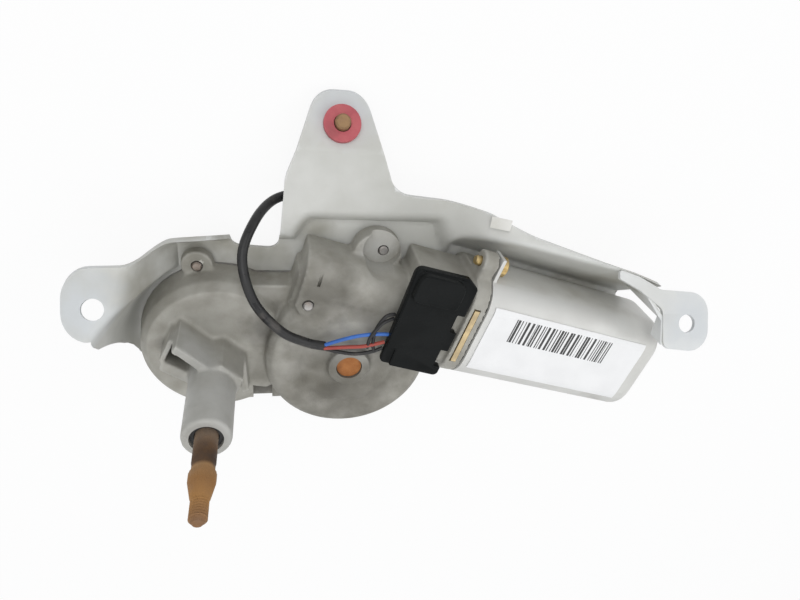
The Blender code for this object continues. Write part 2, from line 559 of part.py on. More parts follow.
for k, (p, z) in enumerate(EARS):
    hole = [(2.3 * MM, 10 * MM), (2.3 * MM, 40 * MM)]
    cut(housing, stack("ear_bore_%d" % (k + 1), hole, 16, (p, z), SIDEWAYS, hidden=True))
    cut(yoke, stack("yoke_bore_%d" % (k + 1), hole, 16, (p, z), SIDEWAYS, hidden=True))
    head = FLANGE_S + GAP + 1.5 * MM + GAP
    stack("yoke_screw_%d" % (k + 1), [(1.6 * MM, 17 * MM), (2 * MM, 17.6 * MM), (2 * MM, head), (4.2 * MM, head),
                                      (4.2 * MM, head + 2 * MM), (2.6 * MM, head + 3.2 * MM)], 20, (p, z), SIDEWAYS)

# Magnets, armature, commutator, brushes and bearings
MAGNET_OUT = CAN_W / 2 - CAN_WALL - MAGNET_GAP
MAGNET_IN = MAGNET_OUT - MAGNET_T
CORE_R = MAGNET_IN - AIR_GAP
WINDING_R = CORE_R - 1.9 * MM
for label, start in (("upper", 0.0), ("lower", math.pi)):
    spread = math.radians(46)
    turns = [start - spread + 2 * spread * k / 10 for k in range(11)]
    shape = [(MAGNET_OUT * math.cos(t), MAGNET_OUT * math.sin(t)) for t in turns]
    shape += [(MAGNET_IN * math.cos(t), MAGNET_IN * math.sin(t)) for t in reversed(turns)]
    loft("magnet_" + label, [[(s, p, z) for p, z in shape] for s in (42 * MM, 98 * MM)], MOTOR)
tube("armature_core", CORE_R, SHAFT_R + GAP, 46 * MM, 92 * MM, 24, matrix=ALONG_MOTOR)
for label, low, high in (("front", 36, 45.5), ("rear", 92.5, 101)):
    tube("winding_" + label, WINDING_R, 5.5 * MM, low * MM, high * MM, 24, matrix=ALONG_MOTOR)
tube("commutator", 8 * MM, SHAFT_R + GAP, 9 * MM, 22 * MM, 24, matrix=ALONG_MOTOR)
for label, side in (("upper", 1), ("lower", -1)):
    near, far = sorted((side * 8.4 * MM, side * 15.5 * MM))
    box("brush_" + label, (12.5 * MM, near, -2.5 * MM), (18.5 * MM, far, 2.5 * MM), MOTOR)
tube("front_bush", 6.1 * MM, SHAFT_R + GAP, -3 * MM, 2 * MM, 20, matrix=ALONG_MOTOR)
tube("end_bush", 5.7 * MM, SHAFT_R + GAP, CAN_END_S - 4 * MM, CAN_END_S + 2.2 * MM, 20, matrix=ALONG_MOTOR)

# Armature shaft with a single-start worm thread
WORM_TIP = WORM_PITCH_R + 0.95 * MM
WORM_ROOT = CENTRES - TIP_R - 0.35 * MM
shaft = turned("armature_shaft", [(2.4 * MM, -37.4 * MM), (SHAFT_R, -36.6 * MM), (SHAFT_R, CAN_END_S + 1.2 * MM),
                                  (2.4 * MM, CAN_END_S + 2 * MM)], 20)
turns = WORM_LEN / PITCH
steps = round(turns * 16)
thread = []
for k in range(steps + 1):
    psi = (k / steps - 0.5) * turns * 2 * math.pi
    fade = min(1.0, k / 6, (steps - k) / 6)
    height = SHAFT_R - 0.4 * MM + (WORM_TIP - SHAFT_R + 0.4 * MM) * max(fade, 0.05)
    middle = WORM_S + PITCH * psi / (2 * math.pi)
    ring = []
    root = SHAFT_R - 0.4 * MM
    for r, half in ((root, -1.05 * MM), (height, -0.5 * MM), (height, 0.5 * MM), (root, 1.05 * MM)):
        ring.append((middle + half, -r * math.cos(psi), -r * math.sin(psi)))
    thread.append(ring)
fuse(shaft, loft("worm_thread", thread, MOTOR, hidden=True))

# Brush cap over the brush box, with a rounded raised head
cap_low = 16 * MM
cap = prism("brush_cap", rounded([(-8 * MM, -21 * MM, 2 * MM), (17.5 * MM, -21.5 * MM, 2 * MM),
                                  (17.5 * MM, 21 * MM, 2 * MM), (13 * MM, 24 * MM, 2 * MM),
                                  (-9 * MM, 23.5 * MM, 3 * MM)], 3), cap_low, 20 * MM, MOTOR)
HEAD = [(-7 * MM, 12 * MM, 2 * MM), (11 * MM, 12 * MM, 2 * MM), (11 * MM, 22 * MM, 3 * MM), (-7 * MM, 22 * MM, 3 * MM)]
fuse(cap, prism("cap_head", rounded(HEAD, 3), 19 * MM, 23 * MM, MOTOR, hidden=True))

# Captive bolt with its retaining washer in the top lug
top = lug_frame(*TOP_HOLE)
stack("captive_bolt", [(5.4 * MM, -5.2 * MM), (5.8 * MM, -4.6 * MM), (6.4 * MM, -2.6 * MM), (6.4 * MM, -SHEET - GAP),
                       (2.9 * MM, -SHEET - GAP), (2.9 * MM, 4.6 * MM), (2.3 * MM, 5.4 * MM)], 24, matrix=top)
tube("bolt_retainer", 6.9 * MM, 3.2 * MM, GAP, 2.6 * MM, 32, matrix=top)

# Lead: sleeve round the front of the gearbox, behind the bracket to its connector, and the bare wires
SLEEVE = [(-36.4, 40, 7.6), (-45, 39, 6.6), (-55, 36.5, 9.5), (-62, 32, 21), (-66, 22, 30), (-62, 8, 37),
          (-52, -4, 39), (-42, -10.5, 37.5), (-35, -13, 36.5)]
wire("lead_sleeve", [(x * MM, y * MM, z * MM) for x, y, z in SLEEVE], 1.9 * MM, 10, 5)
WIRES = {"blue_wire": [(-34.2, -12.3, 36.9), (-28, -10, 38.6), (-20, -7.6, 39.6), (-13.6, -6.6, 39)],
         "black_wire": [(-34.2, -14.2, 36.6), (-28, -12.9, 38.2), (-20, -12, 38.6), (-14.5, -11.2, 38.4)],
         "red_wire": [(-34.3, -13.2, 38.1), (-27, -11.4, 39.7), (-20, -9.8, 40), (-14, -8.9, 39.3)]}
for label, path in WIRES.items():
    wire(label, [(x * MM, y * MM, z * MM) for x, y, z in path], 0.75 * MM, 8, 4)
connector = box("lead_connector", (-36 * MM, 36 * MM, 3.6 * MM), (-18 * MM, 46 * MM, 12 * MM))

# White clip through the rim and the blank sticker on the can
CLIP_XY = (33.5 * MM, 36.0 * MM)
CLIP_LIFT = GAP + 0.25 * MM


def on_sheet(x, y, reach=3 * MM):
    """Frame on the pressed sheet: local Z is its normal, local X runs along +X."""
    near_x = np.array([x, x - reach, x + reach, x, x])
    near_y = np.array([y, y, y, y - reach, y + reach])
    level, west, east, south, north = (float(z) for z in sheet_height(near_x, near_y))
    run_x = Vector((2 * reach, 0, east - west)).normalized()
    normal = run_x.cross(Vector((0, 2 * reach, north - south))).normalized()
    turn = Matrix((run_x, normal.cross(run_x), normal)).transposed().to_4x4()
    return Matrix.Translation((x, y, level)) @ turn


CLIP_HALF = (4 * MM, 2.2 * MM)
clip = box("harness_clip", (-CLIP_HALF[0], -CLIP_HALF[1], CLIP_LIFT), (*CLIP_HALF, CLIP_LIFT + 1.9 * MM),
           on_sheet(*CLIP_XY))
LABEL_HALF = 15 * MM
LABEL_T = 0.25 * MM


def can_top(p, lift):
    """Height of the can's top over its axis at a place across it, raised by a lift."""
    over = max(abs(p) - (CAN_W / 2 - CAN_CORNER), 0)
    return CAN_T / 2 - CAN_CORNER + math.sqrt((CAN_CORNER + lift) ** 2 - over ** 2)


across = [LABEL_HALF * (k / 8 - 1) for k in range(17)]
label_section = [(p, can_top(p, 0.15 * MM)) for p in across]
label_section += [(p, can_top(p, 0.15 * MM + LABEL_T)) for p in reversed(across)]
label_ends = (FLANGE_S + 3 * MM, CAN_END_S - 9 * MM)
loft("label_blank", [[(s, p, z) for p, z in label_section] for s in label_ends], MOTOR)

# The origin lies under the middle of the whole part
CENTRE_Y = 5.6 * MM
for made in bpy.data.objects:
    made.location.y -= CENTRE_Y
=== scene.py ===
# %% [markdown]
# # Rear wiper drive
# A used wiper drive lies on its back: a flat-sided motor, a die-cast gearbox, a spindle in a tower
# and a pressed steel bracket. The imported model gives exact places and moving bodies. This lesson
# gives each visible piece its rounded form and its worn finish.

# %% Load the frame
import json
import math

import bmesh
import bpy
import numpy as np
from mathutils import Matrix, Vector

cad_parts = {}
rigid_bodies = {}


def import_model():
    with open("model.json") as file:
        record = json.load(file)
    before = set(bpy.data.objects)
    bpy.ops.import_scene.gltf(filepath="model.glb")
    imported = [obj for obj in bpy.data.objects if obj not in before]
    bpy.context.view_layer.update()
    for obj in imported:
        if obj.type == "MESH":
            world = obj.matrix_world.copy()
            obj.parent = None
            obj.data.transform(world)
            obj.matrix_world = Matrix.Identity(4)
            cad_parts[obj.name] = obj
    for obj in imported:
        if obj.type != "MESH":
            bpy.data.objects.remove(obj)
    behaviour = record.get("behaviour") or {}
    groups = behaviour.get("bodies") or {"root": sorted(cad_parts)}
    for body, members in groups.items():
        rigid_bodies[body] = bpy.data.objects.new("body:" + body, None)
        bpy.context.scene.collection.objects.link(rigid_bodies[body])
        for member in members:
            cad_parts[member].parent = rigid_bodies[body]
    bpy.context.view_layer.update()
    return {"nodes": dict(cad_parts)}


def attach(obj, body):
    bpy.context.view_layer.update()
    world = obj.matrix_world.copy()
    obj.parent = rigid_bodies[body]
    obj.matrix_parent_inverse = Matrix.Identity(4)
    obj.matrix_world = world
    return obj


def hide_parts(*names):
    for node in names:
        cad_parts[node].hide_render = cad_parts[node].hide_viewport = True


for old in list(bpy.data.objects):
    bpy.data.objects.remove(old, do_unlink=True)
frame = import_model()
nodes = frame["nodes"]

# %% [markdown]
# ## Places
# Drawings of such parts are in millimetres, so the script keeps them too and turns them into metres
# in one function. The drawing's zero is on the motor axis; the frame's zero is a little higher up
# the page. A second frame lies along the motor, which runs down to the right.

# %% Places
MM = 0.001
DRAWING_Y = 5.6
MOTOR_TURN = math.radians(-15)
MOTOR_Z = 22.0
SPINDLE = (-77.5, -25.5)
CASE = (-76.0, -22.0)
CASE_TOP = 26.0
WHEEL = (-24.185, -24.578)
DECK = 9.0
BASE = 10.8


def at(x, y, z):
    return Vector((x, y - DRAWING_Y, z)) * MM


DRAWING = Matrix.Translation((0, -DRAWING_Y * MM, 0)) @ Matrix.Scale(MM, 4)
MOTOR = DRAWING @ Matrix.Translation((0, 0, MOTOR_Z)) @ Matrix.Rotation(MOTOR_TURN, 4, "Z")
ON_AXIS = Matrix(((0, 0, 1, 0), (1, 0, 0, 0), (0, 1, 0, 0), (0, 0, 0, 1)))
print("motor flange at", [round(c, 4) for c in MOTOR @ Vector((26, 0, 0))])

# %% [markdown]
# ## Making meshes
# Most pieces are skins through rings of points, so one loft function serves turned, extruded and
# swept shapes. A boolean or remesh is baked at once, so that only finished pieces stay in the scene.


# %% Mesh helpers
def skin(name, verts, faces, matrix=DRAWING):
    mesh = bpy.data.meshes.new(name)
    mesh.from_pydata([tuple(v) for v in verts], [], faces)
    bm = bmesh.new()
    bm.from_mesh(mesh)
    bmesh.ops.transform(bm, matrix=matrix, verts=bm.verts)
    bmesh.ops.recalc_face_normals(bm, faces=bm.faces)
    bm.to_mesh(mesh)
    bm.free()
    piece = bpy.data.objects.new(name, mesh)
    bpy.context.collection.objects.link(piece)
    return piece


def loft(name, rings, matrix=DRAWING):
    n = len(rings[0])
    verts = [v for ring in rings for v in ring]
    faces = [tuple(range(n))[::-1], tuple((len(rings) - 1) * n + i for i in range(n))]
    for k in range(len(rings) - 1):
        for i in range(n):
            j = (i + 1) % n
            faces.append((k * n + i, k * n + j, (k + 1) * n + j, (k + 1) * n + i))
    return skin(name, verts, faces, matrix)


def ring(r, z, n, centre=(0, 0)):
    turns = [2 * math.pi * i / n for i in range(n)]
    return [(centre[0] + r * math.cos(t), centre[1] + r * math.sin(t), z) for t in turns]


def turned(name, steps, centre=(0, 0), n=48, matrix=DRAWING):
    return loft(name, [ring(r, z, n, centre) for r, z in steps], matrix)


def prism(name, points, z0, z1, matrix=DRAWING):
    return loft(name, [[(x, y, z) for x, y in points] for z in (z0, z1)], matrix)


def block(name, low, high, matrix=DRAWING):
    corners = [(low[0], low[1]), (high[0], low[1]), (high[0], high[1]), (low[0], high[1])]
    return prism(name, corners, low[2], high[2], matrix)


def rounded(points, steps=8):
    """Outline with round corners: each point is x, y and a radius."""
    out = []
    n = len(points)
    for i, (x, y, r) in enumerate(points):
        here = Vector((x, y))
        back = (Vector(points[i - 1][:2]) - here).normalized()
        on = (Vector(points[(i + 1) % n][:2]) - here).normalized()
        half = back.angle(on) / 2
        middle = here + (back + on).normalized() * (r / math.sin(half))
        first = here + back * (r / math.tan(half)) - middle
        last = here + on * (r / math.tan(half)) - middle
        sweep = first.angle_signed(last)
        for k in range(steps + 1):
            spoke = first.copy()
            spoke.rotate(Matrix.Rotation(-sweep * k / steps, 2))
            out.append(tuple(middle + spoke))
    return out


def bake(piece):
    """Turns the piece's modifiers into plain mesh."""
    shaped = piece.evaluated_get(bpy.context.evaluated_depsgraph_get())
    mesh = bpy.data.meshes.new_from_object(shaped)
    piece.modifiers.clear()
    piece.data = mesh
    return piece


def combine(piece, tool, how):
    step = piece.modifiers.new(how, "BOOLEAN")
    step.operation = how
    step.solver = "EXACT"
    step.object = tool
    bake(piece)
    bpy.data.objects.remove(tool, do_unlink=True)


def soften(piece, degrees=35):
    """Smooth shading that keeps edges sharper than the angle."""
    for face in piece.data.polygons:
        face.use_smooth = True
    piece.data.set_sharp_from_angle(angle=math.radians(degrees))
    return piece


# %% [markdown]
# ## Worn finishes
# Every surface here is used: paint has scuffs and dust, castings are stained, steel is rusty. One
# recipe covers them: two tones mixed by noise, a patchy grime, light edges where the surface stands
# out, uneven gloss and a fine bump. Each finish sets its own colours and scales.


# %% Finish recipe
def worn(name, base, second, grime, scale=90.0, patchy=0.5, edge=None, rough=0.5, metal=0.0, bump=0.15,
         grain=900.0):
    finish = bpy.data.materials.new(name)
    finish.use_nodes = True
    tree = finish.node_tree
    tree.nodes.clear()
    add = tree.nodes.new
    link = tree.links.new
    out = add("ShaderNodeOutputMaterial")
    shader = add("ShaderNodeBsdfPrincipled")
    link(shader.outputs["BSDF"], out.inputs["Surface"])
    shader.inputs["Metallic"].default_value = metal
    place = add("ShaderNodeTexCoord")

    def noise(size, detail):
        cloud = add("ShaderNodeTexNoise")
        cloud.inputs["Scale"].default_value = size
        cloud.inputs["Detail"].default_value = detail
        link(place.outputs["Object"], cloud.inputs["Vector"])
        return cloud.outputs["Fac"]

    def between(value, low, high, to_low=0.0, to_high=1.0):
        span = add("ShaderNodeMapRange")
        span.inputs["From Min"].default_value = low
        span.inputs["From Max"].default_value = high
        span.inputs["To Min"].default_value = to_low
        span.inputs["To Max"].default_value = to_high
        link(value, span.inputs["Value"])
        return span.outputs["Result"]

    def mix(factor, first, then):
        blend = add("ShaderNodeMix")
        blend.data_type = "RGBA"
        link(factor, blend.inputs["Factor"])
        for socket, colour in ((blend.inputs[6], first), (blend.inputs[7], then)):
            if isinstance(colour, tuple):
                socket.default_value = (*colour, 1)
            else:
                link(colour, socket)
        return blend.outputs[2]

    cloud = noise(scale, 5)
    colour = mix(between(cloud, 0.35, 0.65), base, second)
    stains = between(noise(scale * 0.4, 9), 0.72 - 0.4 * patchy, 0.95 - 0.3 * patchy)
    colour = mix(stains, colour, grime)
    if edge:
        shape = add("ShaderNodeNewGeometry")
        colour = mix(between(shape.outputs["Pointiness"], 0.52, 0.6), colour, edge)
    link(colour, shader.inputs["Base Color"])
    link(between(cloud, 0.3, 0.7, max(rough - 0.12, 0.05), min(rough + 0.15, 1)), shader.inputs["Roughness"])
    relief = add("ShaderNodeBump")
    relief.inputs["Strength"].default_value = bump
    relief.inputs["Distance"].default_value = 0.0004
    link(noise(grain, 3), relief.inputs["Height"])
    link(relief.outputs["Normal"], shader.inputs["Normal"])
    return finish


def dress(piece, finish):
    piece.data.materials.clear()
    piece.data.materials.append(finish)
    return piece


def node_of(tree, kind):
    return next(node for node in tree.nodes if node.type == kind)


def patch(finish, spot, reach, colour, strength=0.8):
    """Mixes a colour into a finish round one spot of the drawing, with a ragged edge."""
    tree = finish.node_tree
    add = tree.nodes.new
    link = tree.links.new
    shader = node_of(tree, "BSDF_PRINCIPLED")
    place = node_of(tree, "TEX_COORD")
    far = add("ShaderNodeVectorMath")
    far.operation = "DISTANCE"
    far.inputs[1].default_value = at(*spot)
    link(place.outputs["Object"], far.inputs[0])
    cloud = add("ShaderNodeTexNoise")
    cloud.inputs["Scale"].default_value = 130
    cloud.inputs["Detail"].default_value = 7
    link(place.outputs["Object"], cloud.inputs["Vector"])
    ragged = add("ShaderNodeMath")
    ragged.operation = "MULTIPLY_ADD"
    link(cloud.outputs["Fac"], ragged.inputs[0])
    ragged.inputs[1].default_value = reach * MM
    link(far.outputs["Value"], ragged.inputs[2])
    near = add("ShaderNodeMapRange")
    near.inputs["From Min"].default_value = 1.6 * reach * MM
    near.inputs["From Max"].default_value = 0.8 * reach * MM
    near.inputs["To Max"].default_value = strength
    link(ragged.outputs["Value"], near.inputs["Value"])
    blend = add("ShaderNodeMix")
    blend.data_type = "RGBA"
    link(near.outputs["Result"], blend.inputs["Factor"])
    link(shader.inputs["Base Color"].links[0].from_socket, blend.inputs[6])
    blend.inputs[7].default_value = (*colour, 1)
    link(blend.outputs[2], shader.inputs["Base Color"])


def less_shine(finish, level):
    """Sets how strongly a finish mirrors its surroundings."""
    shader = node_of(finish.node_tree, "BSDF_PRINCIPLED")
    shader.inputs["Specular IOR Level"].default_value = level
    return finish


bracket_paint = worn("Bracket paint", (0.60, 0.60, 0.57), (0.52, 0.52, 0.485), (0.34, 0.32, 0.26), 45, 0.34,
                     (0.72, 0.73, 0.72), 0.42, 0, 0.12, 500)
OLIVE_GRIME_AND_SHADOW = (0.27, 0.255, 0.205)
PAINTED_LUG_LIGHT = (0.58, 0.605, 0.62)
# Olive-brown grime on the webs beside the lugs; the wide patch in the trough under the can's far end is
# painted shadow.
for spot, reach in (((-96, 8, 36), 17), ((-80, 20, 16), 15), ((-62, 14, 16), 16), ((-38, 24, 14), 9),
                    ((60, -52, 2), 30)):
    patch(bracket_paint, spot, reach, OLIVE_GRIME_AND_SHADOW, 0.75)
# Painted light: the lug faces that face the light get a bluish-white tint.
for spot, reach in (((-119, 9, 44), 16), ((118, 3, 48), 16), ((-30, 73, 8), 15)):
    patch(bracket_paint, spot, reach, PAINTED_LUG_LIGHT, 0.85)
cast_metal = worn("Stained casting with painted light and shade", (0.36, 0.35, 0.315), (0.29, 0.28, 0.245), (0.16, 0.15, 0.12), 110, 0.42,
                  (0.52, 0.51, 0.47), 0.6, 0.15, 0.3, 1500)
PALE_CAST_AND_HIGHLIGHT = (0.47, 0.47, 0.45)
OIL_AND_SHADE = (0.05, 0.046, 0.038)
# Paler casting on the tower and the lobe top, and painted highlights on the rib beside the tower and on the
# rim of the hood.
for spot, reach in (((-77.5, -25.5, 62), 26), ((-84, -12, 40), 11), ((-13, 20, 18), 9), ((-24, -14, 33), 12)):
    patch(cast_metal, spot, reach, PALE_CAST_AND_HIGHLIGHT, 0.75)
# Near-black patches: partly oil stains, partly painted shade in the pocket of the bridge and in the corners
# between the case and the wheel lobe.
for spot, reach in (((-57, -12, 22), 11), ((-58.5, -47, 20), 6), ((-92, -19, 27), 7), ((-48, -14, 24), 8),
                    ((-30, -38, 32), 7)):
    patch(cast_metal, spot, reach, OIL_AND_SHADE, 0.75)
SHADED_CAST = (0.085, 0.079, 0.062)
for spot, reach in (((-28, -36, 32), 34), ((-36, 8, 32), 16)):
    patch(cast_metal, spot, reach, SHADED_CAST, 0.7)
can_paint = worn("Can paint", (0.64, 0.64, 0.61), (0.57, 0.56, 0.53), (0.36, 0.34, 0.28), 60, 0.36,
                 (0.60, 0.60, 0.58), 0.4, 0.1, 0.1, 700)
PAINTED_CAN_SHADOW = (0.12, 0.11, 0.09)
# Painted shadow on the lower side of the can near its far end.
patch(can_paint, (92, -42, 24), 17, PAINTED_CAN_SHADOW, 0.6)
print("finishes", [finish.name for finish in (bracket_paint, cast_metal, can_paint)])

# %% [markdown]
# ## Bracket
# The real bracket is one steel sheet, pressed in a die: it lies in the tilted plane of its lugs and
# drops to a deck under the gearbox and to a trough under the motor. A height over the plan says all
# of that, with soft minimums as the bends. A fine grid of that height is trimmed by the outline.


# %% Bracket height
def outside(x, y, corners):
    """Distance from places in plan to a polygon, zero inside it."""
    nearest = np.full(x.shape, 1e9)
    inside = np.zeros(x.shape, bool)
    for (ax, ay), (bx, by) in zip(corners, corners[1:] + corners[:1]):
        ex, ey = bx - ax, by - ay
        t = np.clip(((x - ax) * ex + (y - ay) * ey) / (ex * ex + ey * ey), 0, 1)
        nearest = np.minimum(nearest, np.hypot(x - ax - t * ex, y - ay - t * ey))
        if ay != by:
            inside ^= ((ay > y) != (by > y)) & (x < ex * (y - ay) / ey + ax)
    return np.where(inside, 0, nearest)


def soft_min(a, b, r):
    """The lower of two heights, rounded where they meet."""
    h = np.clip(0.5 + 0.5 * (b - a) / r, 0, 1)
    return b + (a - b) * h - r * h * (1 - h)


def plan(s, p):
    """Place in plan from a place along and across the motor."""
    c, d = math.cos(MOTOR_TURN), math.sin(MOTOR_TURN)
    return (c * s - d * p, d * s + c * p)


LUG_TILT = math.radians(30)
LUG_LEVEL = 48.8
SHEET = 1.6
BEND = 4
PIT_BEND = 8
TROUGH_WALL = 1.6
DECK_WALL = 2.2
WELL_WALL = 4.0
WELL_START = 32.0
WELL_BEND = 4.0
ARM_FOOT = 58.7
ARM_SLOPE = 0.6
ARM_LEFT = -75
ARM_LEFT_FADE = 20
ARM_RIGHT = 45
ARM_RIGHT_FADE = 35
TROUGH = [plan(17, 21.2), plan(150, 21.2), plan(150, -120), plan(17, -120)]
DECK_PLAN = [(-91, -70), (-91, 18), (-70, 20), (-46, 20), (-40, 29), (10, 29), (18, 10), (14, -80)]


def ease(t):
    """Zero to one with soft ends."""
    t = np.clip(t, 0, 1)
    return t * t * (3 - 2 * t)


def height(x, y):
    """Top of the sheet over a place in plan: the lug plane, pressed down to trough, deck and well."""
    level = LUG_LEVEL - math.tan(LUG_TILT) * y
    share = np.clip((ARM_RIGHT - x) / ARM_RIGHT_FADE, 0, 1) * np.clip((x - ARM_LEFT) / ARM_LEFT_FADE, 0, 1)
    level = level - ARM_SLOPE * np.clip(ARM_FOOT - y, 0, None) * ease(share)
    trough = SHEET + TROUGH_WALL * outside(x, y, TROUGH)
    deck = DECK + DECK_WALL * outside(x, y, DECK_PLAN)
    rise = np.clip(np.hypot(x - CASE[0], y - CASE[1]) - WELL_START, 0, None)
    bent = np.where(rise < WELL_BEND, rise ** 2 / (2 * WELL_BEND), rise - WELL_BEND / 2)
    well = DECK + WELL_WALL * bent
    return soft_min(soft_min(level, trough, BEND), np.minimum(deck, well), PIT_BEND)


print("sheet level over the deck", float(height(np.array(0.0), np.array(0.0))))

# %% Bracket sheet
GRID = 1.3
STEP = 0.1
OUTLINE = [(-125.2, -0.8, 9), (-125.2, 20.6, 9), (-101, 21.3, 6), (-88, 24, 4), (-77, 28.5, 4),
           (-69.5, 17, 5), (-52.5, 15.8, 4), (-50.6, 48, 12), (-39.6, 78, 9), (-21.8, 78, 9),
           (-8.2, 42.8, 10), (12, 41, 20), (30, 38.6, 20), (48, 32.3, 20), (93, 19.8, 6), (110, 12, 3),
           (110, -10.7, 2), (123.5, -14.5, 4), (107, -68, 6), (9.5, -43, 4), (-4, -50, 4), (-52, -50, 6),
           (-60, -57, 6), (-91, -52, 8), (-103, -40, 5), (-108.5, -32, 5), (-112.6, -22, 6), (-116.2, -10, 3),
           (-115.9, -1.1, 0.2)]


def pressed_sheet(name, x0, x1, y0, y1):
    """Sheet of even thickness under the height, over a rectangle in plan."""
    xs = np.arange(x0, x1, GRID)
    ys = np.arange(y0, y1, GRID)
    gx, gy = np.meshgrid(xs, ys, indexing="ij")
    top = height(gx, gy)
    slope_x = (height(gx + STEP, gy) - top) / STEP
    slope_y = (height(gx, gy + STEP) - top) / STEP
    under = np.maximum(top - SHEET * np.sqrt(1 + slope_x ** 2 + slope_y ** 2), 0)
    nx, ny = gx.shape
    verts = [(gx[i, j], gy[i, j], top[i, j]) for i in range(nx) for j in range(ny)]
    verts += [(gx[i, j], gy[i, j], under[i, j]) for i in range(nx) for j in range(ny)]
    low = nx * ny
    faces = []
    for i in range(nx - 1):
        for j in range(ny - 1):
            a, b, c, d = i * ny + j, (i + 1) * ny + j, (i + 1) * ny + j + 1, i * ny + j + 1
            faces.append((a, b, c, d))
            faces.append((low + d, low + c, low + b, low + a))
    rim = [i * ny for i in range(nx)] + [(nx - 1) * ny + j for j in range(1, ny)]
    rim += [i * ny + ny - 1 for i in range(nx - 2, -1, -1)] + list(range(ny - 2, 0, -1))
    for a, b in zip(rim, rim[1:] + rim[:1]):
        faces.append((b, a, low + a, low + b))
    return skin(name, verts, faces)


def lug_frame(x, y):
    """Frame on the lug plane, with its third axis out of the sheet."""
    level = LUG_LEVEL - math.tan(LUG_TILT) * y
    return DRAWING @ Matrix.Translation((x, y, level)) @ Matrix.Rotation(-LUG_TILT, 4, "X")


LUG_BORE_R = 3.8
LEFT_HOLE = (-115.3, 8.7)
RIGHT_HOLE = (115.3, 2.9)
TOP_HOLE = (-30.3, 67.3)
RIGHT_LUG = [(84, 22.3, 1), (84, 19, 1), (93, 15, 3), (104, 8, 4), (104, -6, 4), (125.5, -8, 9),
             (125.5, 13.9, 9), (103, 15.2, 5), (93, 19.8, 6)]
bracket = pressed_sheet("bracket_sheet", -130, 130, -80, 84)
combine(bracket, prism("outline", rounded(OUTLINE), -20, 90), "INTERSECT")
lug_plan = [(x - RIGHT_HOLE[0], (y - RIGHT_HOLE[1]) / math.cos(LUG_TILT), r) for x, y, r in RIGHT_LUG]
combine(bracket, prism("right_lug", rounded(lug_plan), -SHEET, 0, lug_frame(*RIGHT_HOLE)), "UNION")
WEB_FOOT = [(94, 16), (103.2, 4), (103.2, -5)]


def web(name, start, end, low_start, low_end):
    """Upright strip of sheet under the lug plane, along a line in plan."""
    run = (Vector(end) - Vector(start)).normalized()
    side = Vector((-run.y, run.x)) * SHEET
    corners = [Vector(start), Vector(end), Vector(end) + side, Vector(start) + side]
    low = [(v.x, v.y, z) for v, z in zip(corners, (low_start, low_end, low_end, low_start))]
    high = [(v.x, v.y, LUG_LEVEL - math.tan(LUG_TILT) * v.y - 0.6) for v in corners]
    return loft(name, [low, high])


web_lows = [float(height(np.array(x), np.array(y))) - 1.2 for x, y in WEB_FOOT[:2]]
combine(bracket, web("lug_web", WEB_FOOT[0], WEB_FOOT[1], *web_lows), "UNION")
combine(bracket, web("lug_lip", (103.4, 4.7), WEB_FOOT[2], 42.7, 43), "UNION")
for hole in (LEFT_HOLE, RIGHT_HOLE, TOP_HOLE):
    combine(bracket, turned("hole", [(LUG_BORE_R, -9), (LUG_BORE_R, 9)], (0, 0), 40, lug_frame(*hole)),
            "DIFFERENCE")
SCREWS = [(-83.7, 10.4), (-10.7, 18.6), (-41.6, 3.2)]
SHEET_BORE_R = 2.4
SCREW_BORE_R = 2.3
for spot in SCREWS:
    combine(bracket, turned("hole", [(SHEET_BORE_R, 0), (SHEET_BORE_R, 12)], spot, 24), "DIFFERENCE")
dress(soften(bracket, 40), bracket_paint)
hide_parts("mounting_bracket")
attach(bracket, "chassis")
print("bracket faces", len(bracket.data.polygons))

# %% [markdown]
# ## Gear housing
# A die casting has soft edges everywhere, because metal must flow and the part must leave its mould.
# Bevelling many joined solids is fragile. Here the plain solids are joined, turned into one skin of
# small cells and smoothed, which rounds every edge and fills every corner alike. The hollows are cut
# afterwards, so that the gears inside stay clear.

# %% Housing solids
FACE = 32.0
solids = [
    turned("lobe", [(35.1, 8.8), (33.5, FACE - 3), (30.5, FACE)], WHEEL, 64),
    turned("lobe_ring", [(20, FACE - 2), (19, FACE + 0.7)], WHEEL, 64),
    turned("case", [(31.8, 8.5), (30, CASE_TOP - 4), (27, CASE_TOP)], CASE, 64),
    prism("bridge", [(-66, -50), (-36, -50), (-30, 6), (-72, 6)], 8.2, 22),
    turned("tower", [(9.7, CASE_TOP - 3), (8.9, 48), (8.7, 72.2), (7.9, 73)], SPINDLE, 48),
    prism("high_rib", [(-91.5, -8.8), (-89.2, -6.2), (-78.2, -16.2), (-73.7, -15.2), (-65.8, -22.2),
                       (-68, -28), (-77.5, -30), (-83.5, -25), (-80.6, -18.8)], CASE_TOP - 4, 45),
    prism("low_rib", [(-97.2, -22.3), (-96.2, -17.6), (-83, -26), (-84, -31)], CASE_TOP - 4.6, 38),
    prism("tie_wall", [(-97, -18), (-92.6, -8.4), (-90.8, -9.2), (-95.2, -19)], CASE_TOP - 4.3, 37.6),
    prism("side_wall", [(-68.2, -21.5), (-65.4, -21.8), (-64.2, -39), (-67.2, -40)], CASE_TOP - 4.9, 31),
    turned("boss", [(9.4, FACE - 2), (8.6, 36)], WHEEL, 48),
    turned("left_ear", [(6.6, 7.9), (6, 14.5)], SCREWS[0], 32),
    turned("hood", [(10.5, 7.6), (10, 18)], (-13.5, 17.5), 40),
    turned("post", [(5, 7.3), (5, FACE + 0.3)], SCREWS[2], 28),
]


def bar(name, section, s0, s1):
    """Straight piece along the motor, from a section across it."""
    return loft(name, [[(s, p, z) for p, z in section] for s in (s0, s1)], MOTOR)


